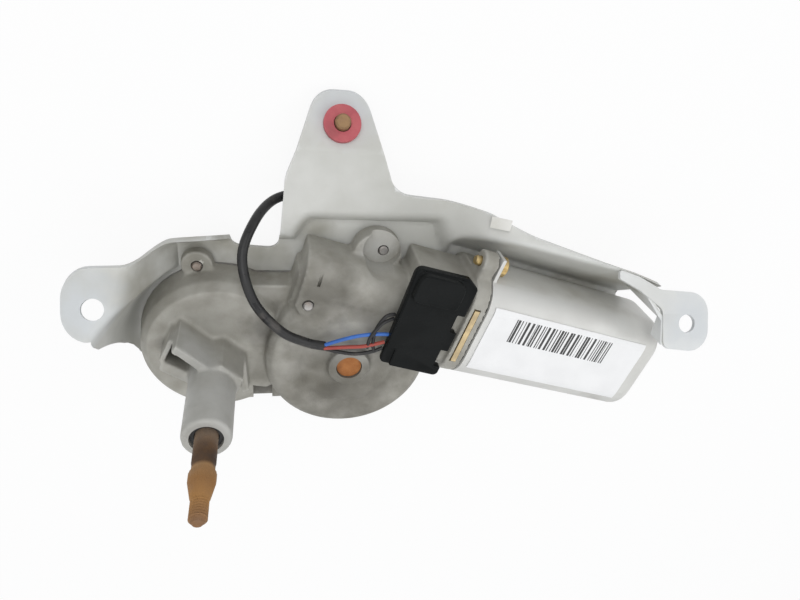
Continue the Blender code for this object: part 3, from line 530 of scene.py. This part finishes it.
flange = rounded([(-23.5, -18.5, 12), (23.5, -18.5, 12), (23.5, 18.5, 12), (-23.5, 18.5, 12)], 6)
TUNNEL_R = 12
TUNNEL_RISE = 11
arc = [math.radians(15 * k) for k in range(13)]
half_round = [(TUNNEL_R * math.cos(turn), TUNNEL_RISE * math.sin(turn)) for turn in arc]
solids.append(bar("tunnel", [(-12, -14), (12, -14)] + half_round, -46, 0))
solids.append(bar("tunnel_seam", [(-10.6, 0), (-8.4, 0), (-8.6, 8.6), (-9.6, 8.2)], -37, -3))
solids.append(bar("tunnel_end", [(-12.6, -14), (3, -14), (3, 7), (-9, 7), (-12.6, 4)], -47.5, -41.5))
BRUSH_BOX = [(-20, -14.4), (20, -14.4), (20, 12), (17, 15.5), (-17, 15.5), (-20, 12)]
solids.append(bar("brush_box", BRUSH_BOX, -4, 22))
solids.append(bar("flange", flange, 19, 26))
EARS = [(27.8, 7), (-27.8, -6)]
for p, z in EARS:
    inner = p - math.copysign(9, p)
    solids.append(block("ear", (19.4, min(p, inner), z - 4.6), (25.5, max(p, inner), z + 4.6), MOTOR))
    solids.append(turned("knob", [(5, 19.2), (5, 25.7)], (p, z), 32, MOTOR @ ON_AXIS))
print("casting from", len(solids), "solids")

# %% Housing casting
CELL = 0.75 * MM
housing = solids[0]
with bpy.context.temp_override(active_object=housing, selected_editable_objects=solids):
    bpy.ops.object.join()
housing.name = "housing_casting"
cells = housing.modifiers.new("cells", "REMESH")
cells.mode = "VOXEL"
cells.voxel_size = CELL
round_off = housing.modifiers.new("round off", "SMOOTH")
round_off.factor = 0.5
round_off.iterations = 5
bake(housing)
hollows = [
    block("base", (-200, -200, -60), (18.9, 200, BASE - MOTOR_Z), MOTOR),
    turned("hood_pocket", [(7.8, 14.5), (8.2, 30)], (-11.8, 20.8), 40),
    turned("wheel_room", [(28, 0), (28, 28.5)], WHEEL, 64),
    turned("lever_room", [(25, 0), (25, 23)], SPINDLE, 64),
    block("rod_channel", (-64, -46.5, 0), (-38, -6, 18.5)),
    turned("worm_bore", [(6.4, -38), (6.4, 5)], (0, 0), 40, MOTOR @ ON_AXIS),
    block("brush_room", (2.5, -17, -9), (40, 17, 12.5), MOTOR),
    turned("spindle_bore", [(5.9, 20), (5.9, 90)], SPINDLE, 40),
    turned("shaft_bore", [(5.3, 26), (5.3, 40)], WHEEL, 40),
    block("flange_slot", (20.5, -14, 17.4), (23.5, 12, 30), MOTOR),
    block("tunnel_groove", (-40.4, 1.5, 9.2), (-39.2, 14, 14), MOTOR),
    prism("side_pocket", [(-62.6, -53), (-54.6, -53), (-54.6, -41.5), (-62.6, -40)], 19.4, 30),
]
hollows += [turned("screw_hole", [(SCREW_BORE_R, 0), (SCREW_BORE_R, 45)], spot, 20) for spot in SCREWS]


def ear_hole(spot):
    return turned("ear_hole", [(SCREW_BORE_R, 10), (SCREW_BORE_R, 40)], spot, 20, MOTOR @ ON_AXIS)


hollows += [ear_hole(spot) for spot in EARS]
for hollow in hollows:
    combine(housing, hollow, "DIFFERENCE")
dress(soften(housing, 50), cast_metal)
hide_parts("gear_housing")
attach(housing, "chassis")
print("casting faces", len(housing.data.polygons))

# %% [markdown]
# ## Motor can
# The yoke is deep drawn: one flat-sided cup with round corners and a pressed bearing seat. It is a
# loft of one rounded section whose last rings shrink along a quarter circle, with the same loft,
# smaller, as its hollow.

# %% Motor can
CAN_HALF_W = 23
CAN_HALF_T = 19
CAN_CORNER = 12
CAN_WALL = 1.5
FLANGE = 26.3
CAN_END = 114.0
TURN_IN = 5.0


def can(name, inset, start, end):
    """Flat-sided cup along the motor, smaller all round by an inset."""
    half_w, half_t, corner = CAN_HALF_W - inset, CAN_HALF_T - inset, CAN_CORNER - inset
    section = rounded([(-half_w, -half_t, corner), (half_w, -half_t, corner), (half_w, half_t, corner),
                       (-half_w, half_t, corner)], 8)
    rings = [[(start, p, z) for p, z in section]]
    for k in range(7):
        t = math.pi / 2 * k / 6
        s = end - TURN_IN + TURN_IN * math.sin(t)
        pull = TURN_IN * (1 - math.cos(t))
        rings.append([(s, p * (1 - pull / half_w), z * (1 - pull / half_t)) for p, z in section])
    return loft(name, rings, MOTOR)


yoke = can("motor_can", 0, FLANGE, CAN_END)
CUP = [(9, CAN_END - 2), (8, CAN_END + 0.4), (7.5, CAN_END + 3.4), (6.9, CAN_END + 4)]
SEAT = [(6, CAN_END - 9), (6, CAN_END + 2.6)]
combine(yoke, turned("cup", CUP, (0, 0), 48, MOTOR @ ON_AXIS), "UNION")
for p, z in EARS:
    low, high = sorted((p + math.copysign(4.5, p), 0))
    combine(yoke, block("ear", (FLANGE + 0.1, low, z - 4.5), (FLANGE + 1.5, high, z + 4.5), MOTOR), "UNION")
combine(yoke, can("hollow", CAN_WALL, FLANGE - 4, CAN_END - 3), "DIFFERENCE")
combine(yoke, turned("seat", SEAT, (0, 0), 40, MOTOR @ ON_AXIS), "DIFFERENCE")
for spot in EARS:
    combine(yoke, ear_hole(spot), "DIFFERENCE")
dress(soften(yoke, 40), can_paint)
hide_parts("motor_yoke")
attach(yoke, "chassis")
print("can faces", len(yoke.data.polygons))

# %% [markdown]
# ## Brush cap
# The black moulded cap snaps over the brush box, and its raised head covers the terminals. A bevel
# gives the moulding its small round edges, which catch the light as a bright line.

# %% Brush cap
black_plastic = less_shine(worn("Black moulding", (0.008, 0.009, 0.009), (0.012, 0.013, 0.013),
                                (0.03, 0.028, 0.026), 70, 0.3, None, 0.25, 0, 0.05, 1200), 0.05)
CAP = [(-8, -21, 2), (17.5, -21.5, 2), (17.5, 21, 2), (13, 24, 2), (-9, 23.5, 3)]
cap = prism("terminal_cap", rounded(CAP, 5), 16, 20, MOTOR)
head = rounded([(-7.6, 11, 2), (11.5, 11, 2), (11.5, 23, 4), (-7.6, 23, 4)], 5)
combine(cap, prism("head", head, 19, 23.4, MOTOR), "UNION")
for low, high in ((-17, -9), (0, 8)):
    combine(cap, block("notch", (14.4, low, 12), (20, high, 25), MOTOR), "DIFFERENCE")
combine(cap, block("corner_step", (-12, -24, 18.6), (-4, -13, 25), MOTOR), "DIFFERENCE")
edges = cap.modifiers.new("moulded edges", "BEVEL")
edges.width = 0.7 * MM
edges.segments = 3
edges.limit_method = "ANGLE"
edges.angle_limit = math.radians(40)
dress(soften(bake(cap), 50), black_plastic)
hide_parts("brush_cap")
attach(cap, "chassis")
brass = worn("Dull brass", (0.46, 0.36, 0.20), (0.38, 0.30, 0.18), (0.2, 0.15, 0.09), 240, 0.4, None, 0.4,
             0.7)
strip = dress(block("contact_strip", (20.9, -13.4, 16.6), (23.1, 11.4, 18.9), MOTOR), brass)
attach(strip, "chassis")
print("cap faces", len(cap.data.polygons))

# %% [markdown]
# ## Spindle
# The wiper arm sits on the knurled cone under a nut on the threaded tip. Both are brown with rust,
# with a dark greased band and a tan band below. The profile is turned; thread and knurl are waves on
# the radius, and the bands are a colour ramp along the height.

# %% Spindle form
SPINDLE_LOW = 17.5
TIP = 108.0
profile = [(4.0, SPINDLE_LOW), (4.0, 84.0), (3.8, 84.5), (3.8, 87.5), (4.5, 89.0), (4.5, 92.0), (3.1, 99.0),
           (2.6, 99.8)]
SIDES = 48
KNURL_DEPTH = 0.12
CONE_LOW = 88
CONE_TOP = 99.5
PITCH = 1.0
THREAD_START = 100.0
THREAD_ROOT = 2.55
THREAD_CREST = 2.9
spindle_rings = [ring(r, z, SIDES, SPINDLE) for r, z in profile]
for k, (r, z) in enumerate(profile):
    if CONE_LOW < z < CONE_TOP:
        crests = ring(r, z, SIDES, SPINDLE)
        roots = ring(r - KNURL_DEPTH, z, SIDES, SPINDLE)
        spindle_rings[k] = [roots[i] if i % 2 else crests[i] for i in range(SIDES)]
z = THREAD_START
while z < TIP - 1.6:
    for r, share in ((THREAD_ROOT, 0), (THREAD_CREST, 0.3), (THREAD_CREST, 0.5)):
        spindle_rings.append(ring(r, z + share * PITCH, SIDES, SPINDLE))
    z += PITCH
spindle_rings += [ring(2.5, TIP - 1.4, SIDES, SPINDLE), ring(1.7, TIP, SIDES, SPINDLE)]
shaft = loft("wiper_spindle", spindle_rings)
soften(shaft, 30)
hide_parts("spindle")
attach(shaft, "spindle")
print("spindle rings", len(spindle_rings))

# %% Spindle finish
rust_bands = worn("Rusty spindle", (0.20, 0.10, 0.04), (0.34, 0.17, 0.06), (0.09, 0.045, 0.02), 260, 0.5,
                  None, 0.75, 0.2, 0.6, 2200)
BANDS_LOW = 70
BAND_SHARE = 0.72
tree = rust_bands.node_tree
shader = node_of(tree, "BSDF_PRINCIPLED")
place = node_of(tree, "TEX_COORD")
split = tree.nodes.new("ShaderNodeSeparateXYZ")
tree.links.new(place.outputs["Object"], split.inputs["Vector"])
span = tree.nodes.new("ShaderNodeMapRange")
span.inputs["From Min"].default_value = BANDS_LOW * MM
span.inputs["From Max"].default_value = TIP * MM
tree.links.new(split.outputs["Z"], span.inputs["Value"])
ramp = tree.nodes.new("ShaderNodeValToRGB")
BANDS = [(0.0, (0.25, 0.22, 0.18)), (0.22, (0.05, 0.035, 0.025)), (0.30, (0.012, 0.010, 0.010)),
         (0.42, (0.012, 0.010, 0.010)), (0.46, (0.40, 0.24, 0.11)), (0.62, (0.30, 0.15, 0.05)),
         (0.80, (0.42, 0.22, 0.07)), (1.0, (0.22, 0.12, 0.06))]
while len(ramp.color_ramp.elements) < len(BANDS):
    ramp.color_ramp.elements.new(0.5)
for stop, (where, colour) in zip(ramp.color_ramp.elements, BANDS):
    stop.position = where
    stop.color = (*colour, 1)
tree.links.new(span.outputs["Result"], ramp.inputs["Fac"])
tint = tree.nodes.new("ShaderNodeMix")
tint.data_type = "RGBA"
tint.inputs["Factor"].default_value = BAND_SHARE
mottled = shader.inputs["Base Color"].links[0].from_socket
tree.links.new(mottled, tint.inputs[6])
tree.links.new(ramp.outputs["Color"], tint.inputs[7])
tree.links.new(tint.outputs[2], shader.inputs["Base Color"])
dress(shaft, rust_bands)
print("spindle bands", len(BANDS))

# %% [markdown]
# ## Lead
# Black sleeving carries the wires from behind the bracket round the gearbox, and three thin wires
# leave it for the cap, where two short loops of wire stand out. Each follows a smooth curve through a
# few points, drawn as a tube. The sleeve gets faint ribs, because it is wound tape.


# %% Lead curves
def smooth_line(points, steps):
    """Smooth curve through a few drawing points, in metres."""
    pts = [at(*p) for p in points]
    line = []
    for i in range(len(pts) - 1):
        a, b, c, d = pts[max(i - 1, 0)], pts[i], pts[i + 1], pts[min(i + 2, len(pts) - 1)]
        for k in range(steps):
            t = k / steps
            line.append(0.5 * (2 * b + (c - a) * t + (2 * a - 5 * b + 4 * c - d) * t * t
                               + (3 * b - a - 3 * c + d) * t ** 3))
    return line + [pts[-1]]


def tube(name, line, r, rib=0.0, n=16):
    """Round tube along a curve, with every second ring drawn in by a share for ribs."""
    rings = []
    side = Vector((0, 0, 1))
    for i, p in enumerate(line):
        ahead = (line[min(i + 1, len(line) - 1)] - line[max(i - 1, 0)]).normalized()
        side = (side - ahead * side.dot(ahead)).normalized()
        other = ahead.cross(side)
        size = r * MM * (1 - rib * (i % 2))
        turns = [2 * math.pi * j / n for j in range(n)]
        rings.append([p + side * (size * math.cos(t)) + other * (size * math.sin(t)) for t in turns])
    return loft(name, rings, Matrix.Identity(4))


def run_length(line):
    return sum((b - a).length for a, b in zip(line, line[1:]))


SLEEVE = [(-36.4, 40, 7.6), (-45, 39, 6.6), (-55, 36.5, 9.5), (-62, 32, 21), (-66, 22, 30), (-62, 8, 37),
          (-52, -4, 39), (-42, -10.5, 37.5), (-35, -13, 36.5)]
SLEEVE_R = 1.9
WIRE_R = 0.75
LOOP_R = 0.7
WIRES = {"blue_wire": [(-35.2, -12.2, 37.2), (-29, -8.6, 39), (-22, -6.0, 40), (-15, -5.6, 39.6),
                       (-9.8, -6.2, 39)],
         "black_wire": [(-35.2, -14.0, 36.8), (-29, -15.0, 38), (-22.5, -15.6, 38.6), (-16, -14.6, 38.6),
                        (-12, -12.8, 38.6)],
         "red_wire": [(-35.2, -13.2, 37.8), (-27, -11.6, 39.5), (-20, -11.0, 40), (-11.6, -9.6, 39.2)]}
LOOPS = [[(-9.0, 1.6, 39.4), (-13.5, 0.2, 41), (-17.5, -6, 40.6), (-18.4, -12, 39.6)],
         [(-8.6, 3.4, 39.2), (-12.4, 3.0, 40.4), (-15.6, -3, 40), (-16.2, -10, 39.4), (-15.4, -14, 38.8)]]
black_vinyl = less_shine(worn("Black sleeving", (0.012, 0.012, 0.013), (0.022, 0.022, 0.022),
                              (0.10, 0.09, 0.08), 300, 0.36, None, 0.34), 0.3)
blue_vinyl = worn("Blue wire", (0.03, 0.12, 0.42), (0.04, 0.15, 0.5), (0.05, 0.06, 0.1), 300, 0.3)
red_vinyl = worn("Red wire", (0.3, 0.04, 0.03), (0.36, 0.06, 0.04), (0.1, 0.05, 0.04), 300, 0.3)
WIRE_FINISHES = {"blue_wire": blue_vinyl, "black_wire": black_vinyl, "red_wire": red_vinyl}
sleeve_line = smooth_line(SLEEVE, 24)
sleeve = soften(tube("wound_sleeve", sleeve_line, SLEEVE_R, 0.03))
dress(sleeve, black_vinyl)
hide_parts("lead_sleeve")
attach(sleeve, "chassis")
for name, points in WIRES.items():
    line = smooth_line(points, 12)
    lead = soften(tube(name + "_run", line, WIRE_R, 0, 12))
    dress(lead, WIRE_FINISHES[name])
    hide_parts(name)
    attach(lead, "chassis")
for k, points in enumerate(LOOPS):
    line = smooth_line(points, 12)
    loop = dress(soften(tube("loop_wire_%d" % (k + 1), line, LOOP_R, 0, 12)), black_vinyl)
    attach(loop, "chassis")
    print("loop of wire", round(run_length(line), 4))
print("sleeve length", round(run_length(sleeve_line), 4))

# %% [markdown]
# ## Small pieces
# Screws, bolt, washers and the parts inside keep their exact solids. Each gets its own metal or
# plastic, and those in view get a narrow bevel, since no real edge is perfectly sharp.

# %% Small finishes
STEEL = worn("Dull steel", (0.36, 0.35, 0.34), (0.27, 0.26, 0.25), (0.16, 0.10, 0.06), 220, 0.45, None, 0.4,
             0.8)
FINISHES = {
    "bracket_screw_1": STEEL, "bracket_screw_2": STEEL, "bracket_screw_3": STEEL, "rear_cover": STEEL,
    "connecting_rod": STEEL, "output_lever": STEEL, "crank_pin": STEEL, "spindle_washer": STEEL,
    "armature_shaft": STEEL, "armature_core": STEEL,
    "captive_bolt": worn("Rusty bolt", (0.22, 0.13, 0.07), (0.32, 0.20, 0.10), (0.1, 0.06, 0.03), 300, 0.5,
                         None, 0.6, 0.5),
    "bolt_retainer": worn("Red fibre", (0.42, 0.07, 0.09), (0.50, 0.12, 0.13), (0.20, 0.05, 0.05), 200, 0.5,
                          None, 0.6),
    "wheel_shaft": worn("Orange rust", (0.36, 0.14, 0.035), (0.28, 0.10, 0.025), (0.12, 0.06, 0.03), 220,
                        0.45, None, 0.7, 0.2, 0.5, 1800),
    "harness_clip": worn("White nylon", (0.75, 0.74, 0.70), (0.66, 0.65, 0.60), (0.4, 0.38, 0.32), 150, 0.3),
    "lead_connector": black_plastic,
    "spindle_seal": worn("Seal rubber", (0.02, 0.02, 0.02), (0.03, 0.03, 0.03), (0.08, 0.07, 0.06), 200, 0.4,
                         None, 0.7),
    "worm_wheel": worn("Acetal", (0.75, 0.73, 0.66), (0.70, 0.68, 0.60), (0.45, 0.36, 0.2), 120, 0.4, None,
                       0.35),
}
ZINC = worn("Yellow zinc", (0.50, 0.36, 0.14), (0.42, 0.32, 0.16), (0.2, 0.12, 0.06), 260, 0.4, None, 0.35,
            0.8)
BRONZE = worn("Bronze", (0.42, 0.26, 0.11), (0.36, 0.22, 0.1), (0.15, 0.1, 0.06), 200, 0.4, None, 0.45, 0.8)
COPPER = worn("Copper", (0.55, 0.22, 0.10), (0.48, 0.2, 0.09), (0.2, 0.1, 0.06), 300, 0.4, None, 0.35, 0.9)
FERRITE = worn("Ferrite", (0.05, 0.05, 0.055), (0.07, 0.07, 0.07), (0.1, 0.09, 0.08), 200, 0.4, None, 0.6)
for group, finish in ((("yoke_screw_1", "yoke_screw_2"), ZINC),
                      (("spindle_bush_lower", "spindle_bush_upper", "front_bush", "end_bush"), BRONZE),
                      (("winding_front", "winding_rear", "commutator"), COPPER),
                      (("magnet_upper", "magnet_lower", "brush_upper", "brush_lower"), FERRITE)):
    for name in group:
        FINISHES[name] = finish
IN_VIEW = ("captive_bolt", "bolt_retainer", "wheel_shaft", "harness_clip", "lead_connector", "yoke_screw_1",
           "yoke_screw_2")
for name, finish in FINISHES.items():
    dress(nodes[name], finish)
    if name in IN_VIEW:
        edges = nodes[name].modifiers.new("eased edges", "BEVEL")
        edges.width = 0.3 * MM
        edges.segments = 2
        edges.limit_method = "ANGLE"
        edges.angle_limit = math.radians(40)
print("dressed", len(FINISHES), "solids")

# %% [markdown]
# ## Sticker
# A white paper sticker lies on the can. Its print isn't copied: it holds only plain random bars, made
# by a noise that changes along one direction and is cut to light and dark.

# %% Sticker
STICKER_HALF = 15.0
STICKER_ENDS = (29, 105)
BARS_ALONG = (40, 88)
BARS_ACROSS = (1.5, 12.5)
BAR_FINENESS = 900


def can_top(p, lift):
    """Height of the can's top over its axis at a place across it, raised by a lift."""
    past_flat = max(abs(p) - (CAN_HALF_W - CAN_CORNER), 0)
    return CAN_HALF_T - CAN_CORNER + math.sqrt((CAN_CORNER + lift) ** 2 - past_flat ** 2)


across = [STICKER_HALF * (k / 12 - 1) for k in range(25)]
sticker_section = [(p, can_top(p, 0.15)) for p in across] + [(p, can_top(p, 0.4)) for p in reversed(across)]
sticker = bar("blank_sticker", sticker_section, *STICKER_ENDS)
paper = worn("Sticker paper", (0.86, 0.86, 0.86), (0.82, 0.82, 0.82), (0.72, 0.71, 0.68), 80, 0.2, None, 0.5,
             0, 0.03)
tree = paper.node_tree
shader = node_of(tree, "BSDF_PRINCIPLED")
place = node_of(tree, "TEX_COORD")


def along(direction, low, high):
    """One inside a stretch along a direction from the motor's frame, in millimetres, else zero."""
    axis = (MOTOR.to_3x3() @ Vector(direction)).normalized()
    start = axis.dot(MOTOR.translation)
    dot = tree.nodes.new("ShaderNodeVectorMath")
    dot.operation = "DOT_PRODUCT"
    dot.inputs[1].default_value = axis
    tree.links.new(place.outputs["Object"], dot.inputs[0])
    middle = tree.nodes.new("ShaderNodeMath")
    middle.operation = "COMPARE"
    middle.inputs[1].default_value = start + (low + high) / 2 * MM
    middle.inputs[2].default_value = (high - low) / 2 * MM
    tree.links.new(dot.outputs["Value"], middle.inputs[0])
    return dot.outputs["Value"], middle.outputs["Value"]


travel, in_length = along((1, 0, 0), *BARS_ALONG)
_, in_width = along((0, 1, 0), *BARS_ACROSS)
bars = tree.nodes.new("ShaderNodeTexNoise")
bars.noise_dimensions = "1D"
bars.inputs["Scale"].default_value = BAR_FINENESS
bars.inputs["Detail"].default_value = 0
tree.links.new(travel, bars.inputs["W"])
dark = tree.nodes.new("ShaderNodeMath")
dark.operation = "GREATER_THAN"
dark.inputs[1].default_value = 0.5
tree.links.new(bars.outputs["Fac"], dark.inputs[0])
factor = dark.outputs["Value"]
for mask in (in_length, in_width):
    times = tree.nodes.new("ShaderNodeMath")
    times.operation = "MULTIPLY"
    tree.links.new(factor, times.inputs[0])
    tree.links.new(mask, times.inputs[1])
    factor = times.outputs["Value"]
ink = tree.nodes.new("ShaderNodeMix")
ink.data_type = "RGBA"
tree.links.new(factor, ink.inputs["Factor"])
tree.links.new(shader.inputs["Base Color"].links[0].from_socket, ink.inputs[6])
ink.inputs[7].default_value = (0.03, 0.03, 0.03, 1)
tree.links.new(ink.outputs[2], shader.inputs["Base Color"])
dress(sticker, paper)
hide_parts("label_blank")
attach(sticker, "chassis")
print("sticker on the can")

# %% [markdown]
# ## Camera and light
# The camera stands where the photograph was taken from: above the top lug, looking down along the
# spindle. Soft light comes from the camera's side and above. A pale floor keeps a faint shadow. Floor
# and world are white to the camera and in reflections only, so they add little light to the part.

# %% Camera
LENS = 27.9
EYE = (-58.8, 129.0, 237.6)
scene = bpy.context.scene
eye = bpy.data.cameras.new("camera")
eye.sensor_width = 36
eye.lens = LENS
eye.clip_start = 0.01
camera = bpy.data.objects.new("camera", eye)
right = Vector((0.976, 0.111, 0.186))
up = Vector((0, 0.857, -0.515))
back = right.cross(up).normalized()
up = back.cross(right.normalized())
turn = Matrix((right.normalized(), up, back)).transposed().to_4x4()
camera.matrix_world = Matrix.Translation(at(*EYE)) @ turn
bpy.context.collection.objects.link(camera)
scene.camera = camera
print("camera at", [round(c, 3) for c in camera.location])

# %% Floor
FLOOR_HALF = 1500
FLOOR_GLOW = 0.9
floor = block("floor", (-FLOOR_HALF, -FLOOR_HALF, -2.2), (FLOOR_HALF, FLOOR_HALF, -0.2))
ground = bpy.data.materials.new("White floor")
ground.use_nodes = True
tree = ground.node_tree
tree.nodes.clear()
out = tree.nodes.new("ShaderNodeOutputMaterial")
matt = tree.nodes.new("ShaderNodeBsdfDiffuse")
matt.inputs["Color"].default_value = (0.85, 0.85, 0.85, 1)
glow = tree.nodes.new("ShaderNodeEmission")
path = tree.nodes.new("ShaderNodeLightPath")
seen_part = tree.nodes.new("ShaderNodeMath")
seen_part.operation = "MAXIMUM"
tree.links.new(path.outputs["Is Camera Ray"], seen_part.inputs[0])
tree.links.new(path.outputs["Is Glossy Ray"], seen_part.inputs[1])
mostly = tree.nodes.new("ShaderNodeMath")
mostly.operation = "MULTIPLY"
mostly.inputs[1].default_value = FLOOR_GLOW
tree.links.new(seen_part.outputs["Value"], mostly.inputs[0])
choose = tree.nodes.new("ShaderNodeMixShader")
tree.links.new(mostly.outputs["Value"], choose.inputs["Fac"])
tree.links.new(matt.outputs["BSDF"], choose.inputs[1])
tree.links.new(glow.outputs["Emission"], choose.inputs[2])
tree.links.new(choose.outputs["Shader"], out.inputs["Surface"])
dress(floor, ground)
print("floor under the part")

# %% Light
LAMPS = [("key", (-0.15, 0.45, 0.75), 2.8, 0.6), ("fill", (-0.6, -0.3, 0.5), 0.9, 0.6),
         ("rim", (0.6, 0.1, 0.5), 1.1, 0.5), ("front", (0.1, -0.36, 0.8), 1.5, 0.6)]
for name, spot, watts, size in LAMPS:
    lamp = bpy.data.lights.new(name, "AREA")
    lamp.energy = watts
    lamp.size = size
    holder = bpy.data.objects.new(name, lamp)
    holder.location = spot
    holder.rotation_euler = (Vector((0, 0, 0.02)) - holder.location).to_track_quat("-Z", "Y").to_euler()
    bpy.context.collection.objects.link(holder)
world = bpy.data.worlds.new("white ground")
scene.world = world
world.use_nodes = True
tree = world.node_tree
tree.nodes.clear()
out = tree.nodes.new("ShaderNodeOutputWorld")
seen = tree.nodes.new("ShaderNodeBackground")
seen.inputs["Color"].default_value = (1, 1, 1, 1)
seen.inputs["Strength"].default_value = 1.0
soft = tree.nodes.new("ShaderNodeBackground")
soft.inputs["Color"].default_value = (0.95, 0.97, 1, 1)
soft.inputs["Strength"].default_value = 0.45
path = tree.nodes.new("ShaderNodeLightPath")
either = tree.nodes.new("ShaderNodeMath")
either.operation = "MAXIMUM"
tree.links.new(path.outputs["Is Camera Ray"], either.inputs[0])
tree.links.new(path.outputs["Is Glossy Ray"], either.inputs[1])
any_view = tree.nodes.new("ShaderNodeMath")
any_view.operation = "MAXIMUM"
tree.links.new(either.outputs["Value"], any_view.inputs[0])
tree.links.new(path.outputs["Is Transmission Ray"], any_view.inputs[1])
choose = tree.nodes.new("ShaderNodeMixShader")
tree.links.new(any_view.outputs["Value"], choose.inputs["Fac"])
tree.links.new(soft.outputs["Background"], choose.inputs[1])
tree.links.new(seen.outputs["Background"], choose.inputs[2])
tree.links.new(choose.outputs["Shader"], out.inputs["Surface"])
scene.view_settings.view_transform = "Standard"
print("lamps", [lamp[0] for lamp in LAMPS])
